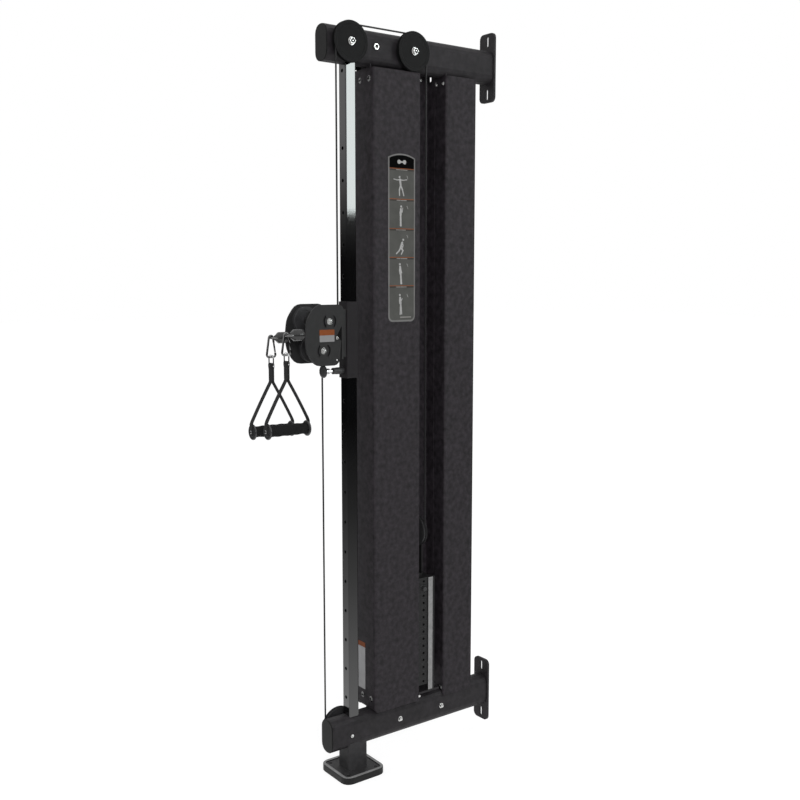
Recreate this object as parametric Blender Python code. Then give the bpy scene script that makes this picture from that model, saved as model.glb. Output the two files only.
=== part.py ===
"""A slim wall-mounted cable machine with a weight stack, two cable ends and a sliding pulley head.

Metres, +Z up. The wall is on the +Y side, the user stands on the -Y side, and the origin is the
centre of the foot pad's underside. The near side is +X and the far side is -X.
"""
from math import atan2, cos, hypot, pi, radians, sin, tan

import bmesh
import bpy
from mathutils import Matrix, Vector

# Clearance between pieces that touch, and the wider one of pieces that slide or turn on each other
GAP = 0.0003
RUN = 0.0006
# How far one part of a welded piece runs into the next
WELD = 0.0005

# Beams that stand out from the wall, one low and one high
BEAM_WIDTH = 0.058
BEAM_HEIGHT = 0.100
BEAM_CORNER = 0.025
BEAM_WALL = 0.003
BEAM_LENGTH = 0.604
BEAM_FRONT = -0.093
CLEAR_HEIGHT = 1.8913
CAP_THICK = 0.003
CAP_PLUG = 0.018

# Foot under the front of the low beam
FOOT_HEIGHT = 0.084
PAD_SIZE = 0.146
PAD_CORNER = 0.026
PAD_RIM = 0.021
PAD_FLOOR = 0.012
FOOT_PLATE_SIZE = 0.124
FOOT_PLATE_CORNER = 0.010
FOOT_PLATE_THICK = 0.006
ANCHOR_INSET = 0.013
ANCHOR_HOLE = 0.005
COLUMN_WIDTH = 0.056
COLUMN_DEPTH = 0.068
COLUMN_CORNER = 0.006
COLUMN_WALL = 0.003

# Plates that bolt to the wall
WALL_PLATE_WIDTH = 0.066
WALL_PLATE_HEIGHT = 0.206
WALL_PLATE_THICK = 0.008
WALL_PLATE_CORNER = 0.015
SLOT_WIDTH = 0.012
SLOT_LENGTH = 0.034
SLOT_INSET = 0.024

# Upright with the row of adjustment holes
POST_SIZE = 0.0345
POST_CORNER = 0.003
POST_WALL = 0.0022
POST_Y = -0.0063
POST_SEAT = 0.015
HOLE_RADIUS = 0.0053
HOLE_PITCH = 0.08936
HOLE_COUNT = 19
FIRST_HOLE = 0.0544
LAST_HOLE_DROP = 0.0173

# Cable, in two upright planes, and the pulleys that it runs on
CABLE_RADIUS = 0.0025
CABLE_X = 0.042
PULLEY_RIM = 0.056
PULLEY_PITCH = 0.047
PULLEY_WIDTH = 0.012
GROOVE_CLEAR = 0.0008
AXLE_RADIUS = 0.006
AXLE_RISE = 0.0537
FRONT_AXLE_Y = -0.024
STACK_LINE_Y = 0.241
ARC_STEP = 15

# Weight stack
PLATE_COUNT = 15
PLATE_PITCH = 0.0229
PLATE_WIDTH = 0.076
PLATE_LENGTH = 0.200
PLATE_EDGE = 0.0012
STEM_RADIUS = 0.008
STEM_CLEAR = 0.0007
SELECT_HOLE = 0.0042
PIN_RADIUS = 0.0034
PIN_HEAD_RADIUS = 0.007
PIN_HEAD_LENGTH = 0.009
ROD_RADIUS = 0.0095
ROD_INSET = 0.028
ROD_SPACING = 0.085
ROD_CLEAR = 0.0006
ROD_TOP_REACH = 0.014
CUSHION_HEIGHT = 0.0202
CUSHION_RADIUS = 0.017
LABEL_WIDTH = 0.022
LABEL_THICK = 0.002
LABEL_RETURN = 0.014
STACK_PULLEY_RISE = 0.144
STACK_PULLEY_MARGIN = 0.006
YOKE_WIDTH = 0.032
YOKE_CHEEK = 0.003
YOKE_BASE = 0.008
YOKE_ROOM = 0.0023
YOKE_TOP = 0.016
YOKE_PIN = 0.005
YOKE_PIN_HEAD = 0.0078

# Deck that the stack stands on, and the brackets that hold the shrouds
DECK_RISE = 0.020
DECK_THICK = 0.006
DECK_REAR = 0.300
KEEL_WIDTH = 0.024
BRACKET_THICK = 0.004
BRACKET_SIDE_ROOM = 0.0015
BRACKET_CORNER_ROOM = 0.006
TOP_DECK_DROP = 0.0393
BRACKET_SKIRT = 0.014
REAR_BRACKET_WIDTH = 0.050
REAR_BRACKET_REACH = 0.045

# Shrouds of folded sheet
SHEET = 0.002
SHROUD_WIDTH = 0.084
SHROUD_FAR_EXTRA = 0.0115
SHROUD_FRONT = 0.053
SHROUD_DEPTH = 0.166
SHROUD_BEND = 0.007
SHROUD_SIDE_DROP = 0.005
SHROUD_FRONT_RISE = 0.012
SHROUD_TOP_GAP = 0.0033
EAR_WIDTH = 0.013
EAR_ABOVE = 0.0062
EAR_BELOW = 0.012
EAR_BORE_INSET = 0.006
REAR_WIDTH = 0.063
REAR_FRONT = 0.325
REAR_DEPTH = 0.115
REAR_BEND = 0.006
REAR_OVERLAP = 0.022
REAR_TOP_OVERLAP = 0.0047
COVER_LIP = 0.016
COVER_RISE = 0.031
COVER_TOP_LAP = 0.0227
COVER_RETURN = 0.0345
COVER_SLOT_INSET = 0.0135
COVER_SLOT_WIDTH = 0.009
COVER_SLOT_HEIGHT = 0.017

# Bores for the screws that hold the shrouds, and for the bolts through the low beam's side
SCREW_BORE = 0.0043
FRONT_SCREW_X = 0.022
FRONT_SCREW_RISE = 0.037
FRONT_SCREW_DROP = 0.0328
REAR_SCREW_X = 0.016
REAR_SCREW_DROP = 0.0173
REAR_LOW_SCREW_X = 0.019
REAR_LOW_SCREW_RISE = 0.0060
EAR_SCREW_RISE = 0.0073
EAR_SCREW_DROP = 0.0223
BASE_BOLT_BORE = 0.0063
BASE_BOLT_YS = (0.157, 0.320)
BASE_BOLT_DROP = 0.0015
FOOT_BOLT_Y = -0.020
FOOT_BOLT_DROP = 0.008

# Axles of the beam pulleys
WASHER = 0.0015
AXLE_WASHER = 0.0112
AXLE_FLAT = 0.0088
AXLE_HEAD_HEIGHT = 0.007
AXLE_NUT_FLAT = 0.0078
AXLE_NUT_HEIGHT = 0.006

# Sliding carriage
CARRIAGE_HOLE = 11
SLEEVE_SIZE = 0.0425
SLEEVE_WALL = 0.0022
SLEEVE_CORNER = 0.004
SLEEVE_BELOW_PIN = 0.0216
SLEEVE_LENGTH = 0.219
LINER_THICK = 0.0012
LINER_ABOVE_PIN = 0.0066

# Pulley head on the carriage
HEAD_PITCH_RADIUS = 0.035
HEAD_RIM_RADIUS = 0.039
HEAD_AXLE = 0.005
HEAD_UPPER_RISE = 0.1446
HEAD_LOWER_RISE = 0.0636
HEAD_GUIDE_STEP = 0.020
HEAD_PLATE_THICK = 0.004
HEAD_HALF_WIDTH = 0.055
HEAD_BACK_Y = -0.058
HEAD_BACK_THICK = 0.006
HEAD_BACK_LOW = 0.038
HEAD_BACK_HIGH = 0.178
HEAD_WEB_THICK = 0.006
HEAD_WEB_FRONT = -0.143
HEAD_WEB_LOW = 0.041
HEAD_WEB_HIGH = 0.172
HEAD_CORNER_YS = (-0.0590, -0.0587, -0.0850, -0.0680, -0.0755, -0.1550, -0.1810, -0.1872, -0.1810, -0.1520)
HEAD_CORNER_RISES = (0.1910, 0.1440, 0.1015, 0.0895, 0.0213, 0.0213, 0.0600, 0.0980, 0.1500, 0.1910)
HEAD_CORNER_RADII = (0.018, 0.012, 0.008, 0.004, 0.018, 0.035, 0.060, 0.080, 0.060, 0.035)
GUSSET_X = 0.014
GUSSET_THICK = 0.004
SPACER_RADIUS = 0.0085
ARC_SLOT_RADIUS = 0.019
ARC_SLOT_WIDTH = 0.006
PLATE_HOLE = 0.003
PLATE_HOLE_Y = -0.0815
PLATE_HOLE_RISES = (0.0362, 0.0979)

# Spring pin that locks the carriage
POP_PIN_RADIUS = 0.0047
POP_TIP_CLEAR = 0.0005
POP_TRAVEL = 0.012
POP_HOUSING_RADIUS = 0.0100
POP_HOUSING_BORE = 0.0078
POP_HOUSING_LENGTH = 0.035
POP_END_WALL = 0.003
POP_COLLAR_THICK = 0.003
POP_COLLAR_CLEAR = 0.0004
POP_NECK_RADIUS = 0.0085
POP_NECK_LENGTH = 0.015
POP_KNOB_RADIUS = 0.0180
POP_KNOB_LENGTH = 0.0085
POP_KNOB_DOME = 0.0035
POP_KNOB_BACK = 0.0025
SPRING_WIRE = 0.0006
SPRING_TURNS = 4

# Cable ends, carabiners and handles
STOP_REAR = -0.1867
STOP_RADIUS = 0.016
STOP_LENGTH = 0.032
STOP_NOSE = 0.007
EYE_Y = -0.238
EYE_WIRE = 0.003
EYE_HALF = 0.008
EYE_CORNER = 0.005
CLIP_WIRE = 0.003
CLIP_HALF = 0.0135
CLIP_CORNER = 0.007
CLIP_DROP = 0.053
CLIP_NOSE = 0.30
CLIP_HINGE = 0.86
GATE_WIRE = 0.0024
RING_WIRE = 0.0017
RING_HALF = 0.0122
RING_TOP_CORNER = 0.008
RING_LOW_CORNER = 0.0025
RING_DROP = 0.026
WEB_WIDTH = 0.0195
LEG_WIDTH = 0.0155
WEB_THICK = 0.0026
CUFF_HALF_THICK = 0.0032
FOLD_RADIUS = 0.0052
SPLIT_DROP = 0.1195
GRIP_DROP = 0.2585
GRIP_RADIUS = 0.0162
GRIP_END_RADIUS = 0.0150
GRIP_LENGTH = 0.118
DISC_RADIUS = 0.0222
DISC_THICK = 0.005
DISC_EDGE = 0.0012
HANDLE_ROD = 0.003
RIVET_HEAD = 0.0055
RIVET_HEIGHT = 0.0024
STRAP_BEND_MARGIN = 0.0016
STRAP_END_DROP = 0.010

# Heights and places that follow from the sizes above
LOW_BOTTOM = FOOT_HEIGHT
LOW_TOP = LOW_BOTTOM + BEAM_HEIGHT
LOW_MID = LOW_BOTTOM + BEAM_HEIGHT / 2
HIGH_BOTTOM = LOW_TOP + CLEAR_HEIGHT
HIGH_TOP = HIGH_BOTTOM + BEAM_HEIGHT
HIGH_MID = HIGH_BOTTOM + BEAM_HEIGHT / 2
BEAM_REAR = BEAM_FRONT + BEAM_LENGTH
BEAM_SIDE = BEAM_WIDTH / 2
BEAM_ENDS = (("bottom", LOW_MID, 1), ("top", HIGH_MID, -1))
LOW_AXLE_Z = LOW_BOTTOM + AXLE_RISE
HIGH_AXLE_Z = HIGH_BOTTOM + AXLE_RISE
CABLE_FRONT_Y = FRONT_AXLE_Y - PULLEY_PITCH
CABLE_RETURN_Y = FRONT_AXLE_Y + PULLEY_PITCH
MIDDLE_AXLE_Y = CABLE_RETURN_Y + PULLEY_PITCH
REAR_AXLE_Y = STACK_LINE_Y - PULLEY_PITCH
POST_FRONT = POST_Y - POST_SIZE / 2
DECK_TOP = LOW_TOP + DECK_RISE
STACK_BOTTOM = DECK_TOP + CUSHION_HEIGHT
STACK_TOP = STACK_BOTTOM + PLATE_COUNT * PLATE_PITCH
PLATE_REAR = STACK_LINE_Y + PLATE_WIDTH / 2
PLATE_FRONT = PLATE_REAR - PLATE_LENGTH
ROD_YS = (PLATE_FRONT + ROD_INSET, PLATE_FRONT + ROD_INSET + ROD_SPACING)
STACK_PULLEY_Z = STACK_TOP + STACK_PULLEY_RISE
TOP_DECK = HIGH_BOTTOM - TOP_DECK_DROP
SHROUD_SIDE = SHROUD_WIDTH / 2
SHROUD_FAR = SHROUD_SIDE + SHROUD_FAR_EXTRA
SHROUD_REAR = SHROUD_FRONT + SHROUD_DEPTH
EAR_REAR = SHROUD_REAR - WELD
HANGER_REAR = EAR_REAR - SHEET - GAP
SHROUD_TOP = HIGH_BOTTOM - SHROUD_TOP_GAP
PIN_Z = LOW_TOP + FIRST_HOLE + CARRIAGE_HOLE * HOLE_PITCH
SLEEVE_BOTTOM = PIN_Z - SLEEVE_BELOW_PIN
SLEEVE_TOP = SLEEVE_BOTTOM + SLEEVE_LENGTH
SLEEVE_FRONT = POST_Y - SLEEVE_SIZE / 2
HEAD_UPPER_Z = PIN_Z + HEAD_UPPER_RISE
HEAD_LOWER_Z = PIN_Z + HEAD_LOWER_RISE
DRIVE_Y = CABLE_FRONT_Y - HEAD_PITCH_RADIUS
GUIDE_Y = DRIVE_Y - HEAD_GUIDE_STEP
NEAR_END_Z = HEAD_UPPER_Z - HEAD_PITCH_RADIUS
FAR_END_Z = HEAD_LOWER_Z + HEAD_PITCH_RADIUS


# Scene and finishes

def clear_scene():
    for old in list(bpy.data.objects):
        bpy.data.objects.remove(old, do_unlink=True)
    for mesh in list(bpy.data.meshes):
        bpy.data.meshes.remove(mesh)


def finish(name, colour, roughness, metallic=0.0):
    material = bpy.data.materials.new(name)
    material.use_nodes = True
    shader = material.node_tree.nodes["Principled BSDF"]
    shader.inputs["Base Color"].default_value = (*colour, 1.0)
    shader.inputs["Roughness"].default_value = roughness
    shader.inputs["Metallic"].default_value = metallic
    return material


def empty(name, place, parent=None):
    holder = bpy.data.objects.new(name, None)
    bpy.context.scene.collection.objects.link(holder)
    if parent is not None:
        holder.parent = parent
        holder.location = Vector(place) - parent_place(parent)
    else:
        holder.location = Vector(place)
    return holder


def parent_place(holder):
    place = holder.location.copy()
    while holder.parent is not None:
        holder = holder.parent
        place += holder.location
    return place


def node(name, body, material, parent=None, smooth=True):
    """Turns one bmesh, modelled in world places, into a named object under its joint's empty."""
    bmesh.ops.recalc_face_normals(body, faces=body.faces)
    mesh = bpy.data.meshes.new(name)
    body.to_mesh(mesh)
    body.free()
    mesh.materials.append(material)
    if smooth:
        mesh.shade_smooth()
        mesh.set_sharp_from_angle(angle=radians(32))
    made = bpy.data.objects.new(name, mesh)
    bpy.context.scene.collection.objects.link(made)
    if parent is not None:
        made.parent = parent
        made.matrix_parent_inverse = Matrix.Translation(-parent_place(parent))
    return made


def shape(target, tool, operation, label):
    """Adds or takes away a helper body, which stays in the file as a hidden wire object."""
    helper = node(f"{target.name}_{label}", tool, target.data.materials[0], smooth=False)
    helper.hide_render = True
    helper.display_type = "WIRE"
    modifier = target.modifiers.new(label, "BOOLEAN")
    modifier.operation = operation
    modifier.solver = "EXACT"
    modifier.object = helper
    return target


def cut(target, tool, label="cut"):
    return shape(target, tool, "DIFFERENCE", label)


def add(target, tool, label="add"):
    return shape(target, tool, "UNION", label)


# Outlines, as lists of points in a plane

def circle(radius, sides, centre=(0.0, 0.0)):
    return [(centre[0] + radius * cos(2 * pi * i / sides),
             centre[1] + radius * sin(2 * pi * i / sides)) for i in range(sides)]


def hexagon(flat, centre=(0.0, 0.0)):
    """A bolt head of a given half width across its flats, with as many points as a 12-sided shank."""
    corner = flat / cos(pi / 6)
    return [(centre[0] + (flat if i % 2 else corner) * cos(pi * i / 6),
             centre[1] + (flat if i % 2 else corner) * sin(pi * i / 6)) for i in range(12)]


def rounded(width, height, radius, centre=(0.0, 0.0), steps=4):
    points = []
    for across, up, start in ((1, 1, 0), (-1, 1, 90), (-1, -1, 180), (1, -1, 270)):
        for i in range(steps + 1):
            turn = radians(start + 90 * i / steps)
            points.append((centre[0] + across * (width / 2 - radius) + radius * cos(turn),
                           centre[1] + up * (height / 2 - radius) + radius * sin(turn)))
    return points


def rectangle(u0, u1, v0, v1):
    return [(u0, v0), (u1, v0), (u1, v1), (u0, v1)]


def arc(centre, radius, start, end, steps):
    return [(centre[0] + radius * cos(radians(start + (end - start) * i / steps)),
             centre[1] + radius * sin(radians(start + (end - start) * i / steps)))
            for i in range(steps + 1)]


def channel(near, far, front, rear, wall, bend, steps=3):
    """A folded U seen from above, closed at its front and open towards the wall."""
    def side(half_width, face, radius):
        return [(half_width, rear)] + arc((half_width - radius, face + radius), radius, 0, -90, steps)
    outer = side(near, front, bend) + [(-u, v) for u, v in reversed(side(far, front, bend))]
    inner = side(near - wall, front + wall, bend - wall)
    inner += [(-u, v) for u, v in reversed(side(far - wall, front + wall, bend - wall))]
    return outer + inner[::-1]


def filleted(corners, steps=3):
    """An outline through corners that each have their own radius."""
    points = []
    for i, (u, v, radius) in enumerate(corners):
        here = Vector((u, v))
        back = (Vector(corners[i - 1][:2]) - here).normalized()
        ahead = (Vector(corners[(i + 1) % len(corners)][:2]) - here).normalized()
        half = back.angle(ahead) / 2
        start, end = here + back * radius / tan(half), here + ahead * radius / tan(half)
        middle = here + (back + ahead).normalized() * radius / sin(half)
        first, last = start - middle, end - middle
        spread = first.angle(last)
        for k in range(steps + 1):
            part = k / steps
            points.append(tuple(middle + (first * sin((1 - part) * spread) + last * sin(part * spread))
                                / sin(spread)))
    return points


def strip(points, thick):
    """The outline of a bent sheet that follows a line of points."""
    left, right = [], []
    for i, (u, v) in enumerate(points):
        before = points[max(i - 1, 0)]
        after = points[min(i + 1, len(points) - 1)]
        first = atan2(v - before[1], u - before[0]) if i else atan2(after[1] - v, after[0] - u)
        last = atan2(after[1] - v, after[0] - u) if i < len(points) - 1 else first
        bend = (last - first + pi) % (2 * pi) - pi
        middle = first + bend / 2
        reach = thick / 2 / cos(bend / 2)
        left.append((u - reach * sin(middle), v + reach * cos(middle)))
        right.append((u + reach * sin(middle), v - reach * cos(middle)))
    return left + right[::-1]


# Bodies, added to a bmesh in world places

def at(axis, u, v, w):
    """The point at w along the axis, with its two other coordinates in X, Y, Z order."""
    if axis == "X":
        return Vector((w, u, v))
    if axis == "Y":
        return Vector((u, w, v))
    return Vector((u, v, w))


def skin(body, rings, closed):
    """Walls between rings of points; a closed row of rings has no ends, an open one gets two caps."""
    rows = [[body.verts.new(point) for point in ring] for ring in rings]
    pairs = list(zip(rows, rows[1:]))
    if closed:
        pairs.append((rows[-1], rows[0]))
    else:
        body.faces.new(rows[0])
        body.faces.new(rows[-1])
    for low, high in pairs:
        for i in range(len(low)):
            j = (i + 1) % len(low)
            body.faces.new((low[i], low[j], high[j], high[i]))
    return body


def loft(body, axis, stations, closed=False):
    return skin(body, [[at(axis, u, v, w) for u, v in outline] for outline, w in stations], closed)


def prism(body, axis, outline, low, high):
    return loft(body, axis, [(outline, low), (outline, high)])


def tube(body, axis, outer, inner, low, high):
    return loft(body, axis, [(outer, low), (outer, high), (inner, high), (inner, low)], closed=True)


def box(body, xs, ys, zs):
    return prism(body, "Z", rectangle(xs[0], xs[1], ys[0], ys[1]), zs[0], zs[1])


def turned(body, axis, centre, profile, sides=16, ring=False):
    """A turned piece: radii and places along the axis; a ring's profile closes on itself."""
    return loft(body, axis, [(circle(r, sides, centre), w) for r, w in profile], closed=ring)


def sweep(body, points, radius, normal, sides=8, closed=False):
    """A round bar along a line of points; the normal is the direction that the line bends about."""
    points = [Vector(point) for point in points]
    across = Vector(normal).normalized()
    rings = []
    for i, point in enumerate(points):
        if closed:
            before, after = points[i - 1], points[(i + 1) % len(points)]
        else:
            before, after = points[max(i - 1, 0)], points[min(i + 1, len(points) - 1)]
        along = ((point - before).normalized() + (after - point).normalized()).normalized()
        across = (across - along * across.dot(along)).normalized()
        other = along.cross(across)
        rings.append([point + radius * (across * cos(2 * pi * (k + 0.5) / sides)
                                        + other * sin(2 * pi * (k + 0.5) / sides))
                      for k in range(sides)])
    return skin(body, rings, closed)


def beam_room(body, middle, clear, front, rear):
    """The space that a beam takes, to shape what is fitted round it."""
    outline = rounded(BEAM_WIDTH + 2 * clear, BEAM_HEIGHT + 2 * clear, BEAM_CORNER + clear, (0, middle), 4)
    return prism(body, "Y", outline, front, rear)


def pulley(body, axis, centre, middle, rim, pitch, bore, sides):
    """A grooved disc, as deep at its groove as the cable that lies in it."""
    half = PULLEY_WIDTH / 2
    floor = pitch - CABLE_RADIUS - GROOVE_CLEAR
    mouth = half - 0.0012
    foot = CABLE_RADIUS + GAP
    profile = [(bore, -half), (rim, -half), (rim, -mouth), (floor, -foot),
               (floor, foot), (rim, mouth), (rim, half), (bore, half)]
    return turned(body, axis, centre, [(r, middle + w) for r, w in profile], sides, ring=True)


# Root: foot, beams, wall plates and post

def make_foot(rubber, paint):
    pad = bmesh.new()
    outer = rounded(PAD_SIZE, PAD_SIZE, PAD_CORNER, steps=4)
    crown = rounded(PAD_SIZE - 0.003, PAD_SIZE - 0.003, PAD_CORNER - 0.0015, steps=4)
    recess = rounded(FOOT_PLATE_SIZE + 2 * GAP, FOOT_PLATE_SIZE + 2 * GAP, FOOT_PLATE_CORNER, steps=4)
    loft(pad, "Z", [(outer, 0.0), (outer, PAD_RIM - 0.0015), (crown, PAD_RIM), (recess, PAD_RIM),
                    (recess, PAD_FLOOR)])
    cut(node("foot_pad", pad, rubber), anchor_holes(-0.01, PAD_RIM))

    plate_low = PAD_FLOOR + GAP
    plate_high = plate_low + FOOT_PLATE_THICK
    stand = bmesh.new()
    prism(stand, "Z", rounded(FOOT_PLATE_SIZE, FOOT_PLATE_SIZE, FOOT_PLATE_CORNER), plate_low, plate_high)
    made = cut(node("foot_stand", stand, paint), anchor_holes(0.0, plate_high + 0.01))
    column = bmesh.new()
    tube(column, "Z", rounded(COLUMN_WIDTH, COLUMN_DEPTH, COLUMN_CORNER),
         rounded(COLUMN_WIDTH - 2 * COLUMN_WALL, COLUMN_DEPTH - 2 * COLUMN_WALL, COLUMN_CORNER - COLUMN_WALL),
         plate_high - WELD, LOW_BOTTOM + BEAM_CORNER)
    add(made, column, "column")
    cut(made, beam_room(bmesh.new(), LOW_MID, GAP, BEAM_FRONT, COLUMN_DEPTH), "beam")


def anchor_holes(low, high):
    holes = bmesh.new()
    place = FOOT_PLATE_SIZE / 2 - ANCHOR_INSET
    for across in (-1, 1):
        for along in (-1, 1):
            prism(holes, "Z", circle(ANCHOR_HOLE, 8, (across * place, along * place)), low, high)
    return holes


def make_beams(paint, plastic):
    """Each beam is one weldment: tube, wall plate, and the plates that carry stack and shrouds."""
    inner_width, inner_height = BEAM_WIDTH - 2 * BEAM_WALL, BEAM_HEIGHT - 2 * BEAM_WALL
    inner_corner = BEAM_CORNER - BEAM_WALL
    for end, middle, open_side in BEAM_ENDS:
        bar = bmesh.new()
        rim = rounded(BEAM_WIDTH, BEAM_HEIGHT, BEAM_CORNER, (0, middle), 4)
        prism(bar, "Y", rim, BEAM_FRONT + CAP_THICK, BEAM_REAR + WELD)
        made = node(f"{end}_beam", bar, paint)
        for label, part in [("wall_plate", wall_plate(middle))] + (
                deck_parts() if end == "bottom" else hanger_parts()):
            add(made, part, label)
        hollow = bmesh.new()
        prism(hollow, "Y", rounded(inner_width, inner_height, inner_corner, (0, middle), 4),
              BEAM_FRONT, BEAM_REAR)
        cut(made, hollow, "hollow")
        cut(made, beam_holes(end, middle, open_side), "holes")

        edge = rounded(BEAM_WIDTH - 0.002, BEAM_HEIGHT - 0.002, BEAM_CORNER - 0.001, (0, middle), 4)
        plug = rounded(inner_width - 2 * GAP, inner_height - 2 * GAP, inner_corner - GAP, (0, middle), 4)
        face = BEAM_FRONT + CAP_THICK - GAP
        cap = bmesh.new()
        loft(cap, "Y", [(edge, BEAM_FRONT), (rim, BEAM_FRONT + 0.001), (rim, face), (plug, face),
                        (plug, face + CAP_PLUG)])
        node(f"{end}_end_cap", cap, plastic)


def wall_plate(middle):
    outline = rounded(WALL_PLATE_WIDTH, WALL_PLATE_HEIGHT, WALL_PLATE_CORNER, (0, middle))
    return prism(bmesh.new(), "Y", outline, BEAM_REAR, BEAM_REAR + WALL_PLATE_THICK)


def rear_tab(low, high):
    """An upright plate inside the rear shroud, which its two screws go into."""
    front = REAR_FRONT + SHEET + GAP
    half = REAR_BRACKET_WIDTH / 2
    return box(bmesh.new(), (-half, half), (front, front + BRACKET_THICK), (low, high))


def deck_parts():
    """The deck that the stack stands on, its keel, and the plates that the shrouds are screwed to."""
    narrow = SHROUD_SIDE - SHEET - BRACKET_SIDE_ROOM
    face = SHROUD_SIDE - SHEET - BRACKET_CORNER_ROOM
    wide = PLATE_WIDTH / 2 + GAP + LABEL_THICK
    step = SHROUD_REAR + 0.0025
    front = SHROUD_FRONT + SHEET + GAP
    start = front + BRACKET_THICK - 2 * WELD
    outline = [(-narrow, start), (narrow, start), (narrow, step), (wide, step),
               (wide, DECK_REAR), (-wide, DECK_REAR), (-wide, step), (-narrow, step)]
    under = DECK_TOP - DECK_THICK
    middle = DECK_TOP - DECK_THICK / 2
    deck = prism(bmesh.new(), "Z", outline, under, DECK_TOP)
    keel = box(bmesh.new(), (-KEEL_WIDTH / 2, KEEL_WIDTH / 2), (front + 4 * WELD, DECK_REAR - 2 * WELD),
               (LOW_TOP - 2 * BEAM_WALL, middle))
    front_plate = box(bmesh.new(), (-face, face), (front, front + BRACKET_THICK),
                      (under + WELD, LOW_TOP + FRONT_SCREW_RISE + BRACKET_SKIRT))
    rear_plate = box(bmesh.new(), (WELD - narrow, narrow - WELD), (HANGER_REAR - BRACKET_THICK, HANGER_REAR),
                     (LOW_TOP - 0.010, middle))
    return [("deck", deck), ("keel", keel), ("front_plate", front_plate), ("rear_plate", rear_plate),
            ("tab", rear_tab(LOW_TOP - 0.012, LOW_TOP + REAR_BRACKET_REACH))]


def hanger_parts():
    """The shelf inside the top of the front shroud, hung from the beam, which holds the rods."""
    narrow = SHROUD_SIDE - SHEET - BRACKET_SIDE_ROOM
    face = SHROUD_SIDE - SHEET - BRACKET_CORNER_ROOM
    front = SHROUD_FRONT + SHEET + GAP
    under = TOP_DECK - DECK_THICK
    shelf = box(bmesh.new(), (-narrow, narrow), (front + BRACKET_THICK - 2 * WELD, HANGER_REAR - 2 * WELD),
                (under, TOP_DECK))
    front_plate = box(bmesh.new(), (-face, face), (front, front + BRACKET_THICK),
                      (TOP_DECK - BRACKET_SKIRT, SHROUD_TOP))
    rear_plate = box(bmesh.new(), (WELD - narrow, narrow - WELD), (HANGER_REAR - BRACKET_THICK, HANGER_REAR),
                     (under + WELD, SHROUD_TOP))
    necks = bmesh.new()
    for low, high in ((front + WELD, front + BRACKET_THICK - WELD),
                      (HANGER_REAR - BRACKET_THICK + WELD, HANGER_REAR - WELD)):
        box(necks, (-BEAM_SIDE * 0.8, BEAM_SIDE * 0.8), (low, high), (TOP_DECK + WELD, HIGH_BOTTOM + 0.008))
    return [("shelf", shelf), ("front_plate", front_plate), ("rear_plate", rear_plate), ("necks", necks),
            ("tab", rear_tab(HIGH_BOTTOM - REAR_BRACKET_REACH, HIGH_BOTTOM + 0.012))]


def beam_holes(end, middle, open_side):
    """The post's socket, the wall slots, and the bores for axles, bolts, rods and screws."""
    holes = bmesh.new()
    size = POST_SIZE + 2 * GAP
    face = middle + open_side * BEAM_HEIGHT / 2
    prism(holes, "Z", rounded(size, size, POST_CORNER, (0, POST_Y), 3),
          *sorted((face - open_side * 3 * BEAM_WALL, face + open_side * 3 * BEAM_WALL)))
    for way in (-1, 1):
        centre = (0, middle + way * (WALL_PLATE_HEIGHT / 2 - SLOT_INSET))
        slot = rounded(SLOT_WIDTH, SLOT_LENGTH, SLOT_WIDTH / 2 - 0.0001, centre)
        prism(holes, "Y", slot, BEAM_REAR - 0.01, BEAM_REAR + 2 * WALL_PLATE_THICK)
    reach = BEAM_SIDE * 1.2
    inside = BEAM_SIDE - 2 * BEAM_WALL
    if end == "top":
        for y in (FRONT_AXLE_Y, MIDDLE_AXLE_Y, REAR_AXLE_Y):
            prism(holes, "X", circle(AXLE_RADIUS + GAP, 12, (y, HIGH_AXLE_Z)), -reach, reach)
    else:
        prism(holes, "X", circle(AXLE_RADIUS + GAP, 12, (FRONT_AXLE_Y, LOW_AXLE_Z)), -reach, -inside)
        for y in BASE_BOLT_YS:
            prism(holes, "X", circle(BASE_BOLT_BORE, 8, (y, middle - BASE_BOLT_DROP)), inside, reach)
        prism(holes, "X", circle(SCREW_BORE, 8, (FOOT_BOLT_Y, middle - FOOT_BOLT_DROP)), inside, reach)
    low, high = (LOW_TOP - 0.02, DECK_TOP + 0.01) if end == "bottom" else (TOP_DECK - 0.02, TOP_DECK + 0.01)
    for y in ROD_YS:
        prism(holes, "Z", circle(ROD_RADIUS + GAP, 16, (0, y)), low, high)
    at_end = slice(0, 2) if end == "bottom" else slice(2, 4)
    for places, near, far in ((front_screw_places(), SHROUD_FRONT, SHROUD_FRONT + 0.012),
                              (rear_screw_places(), REAR_FRONT, REAR_FRONT + 0.012),
                              (ear_places(), HANGER_REAR - 0.012, SHROUD_REAR)):
        for x, z in places[at_end]:
            prism(holes, "Y", circle(SCREW_BORE, 8, (x, z)), near, far)
    return holes


def make_post(paint):
    post = bmesh.new()
    inner = POST_SIZE - 2 * POST_WALL
    tube(post, "Z", rounded(POST_SIZE, POST_SIZE, POST_CORNER, (0, POST_Y), 3),
         rounded(inner, inner, POST_CORNER - POST_WALL, (0, POST_Y), 3),
         LOW_TOP - POST_SEAT, HIGH_BOTTOM + POST_SEAT)
    holes = bmesh.new()
    heights = [LOW_TOP + FIRST_HOLE + i * HOLE_PITCH for i in range(HOLE_COUNT)]
    for z in heights + [HIGH_BOTTOM - LAST_HOLE_DROP]:
        prism(holes, "Y", circle(HOLE_RADIUS, 8, (0, z)), POST_FRONT - 0.005, POST_FRONT + 3 * POST_WALL)
    cut(node("front_post", post, paint), holes)


# Root: shrouds, brackets, deck and screws

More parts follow.
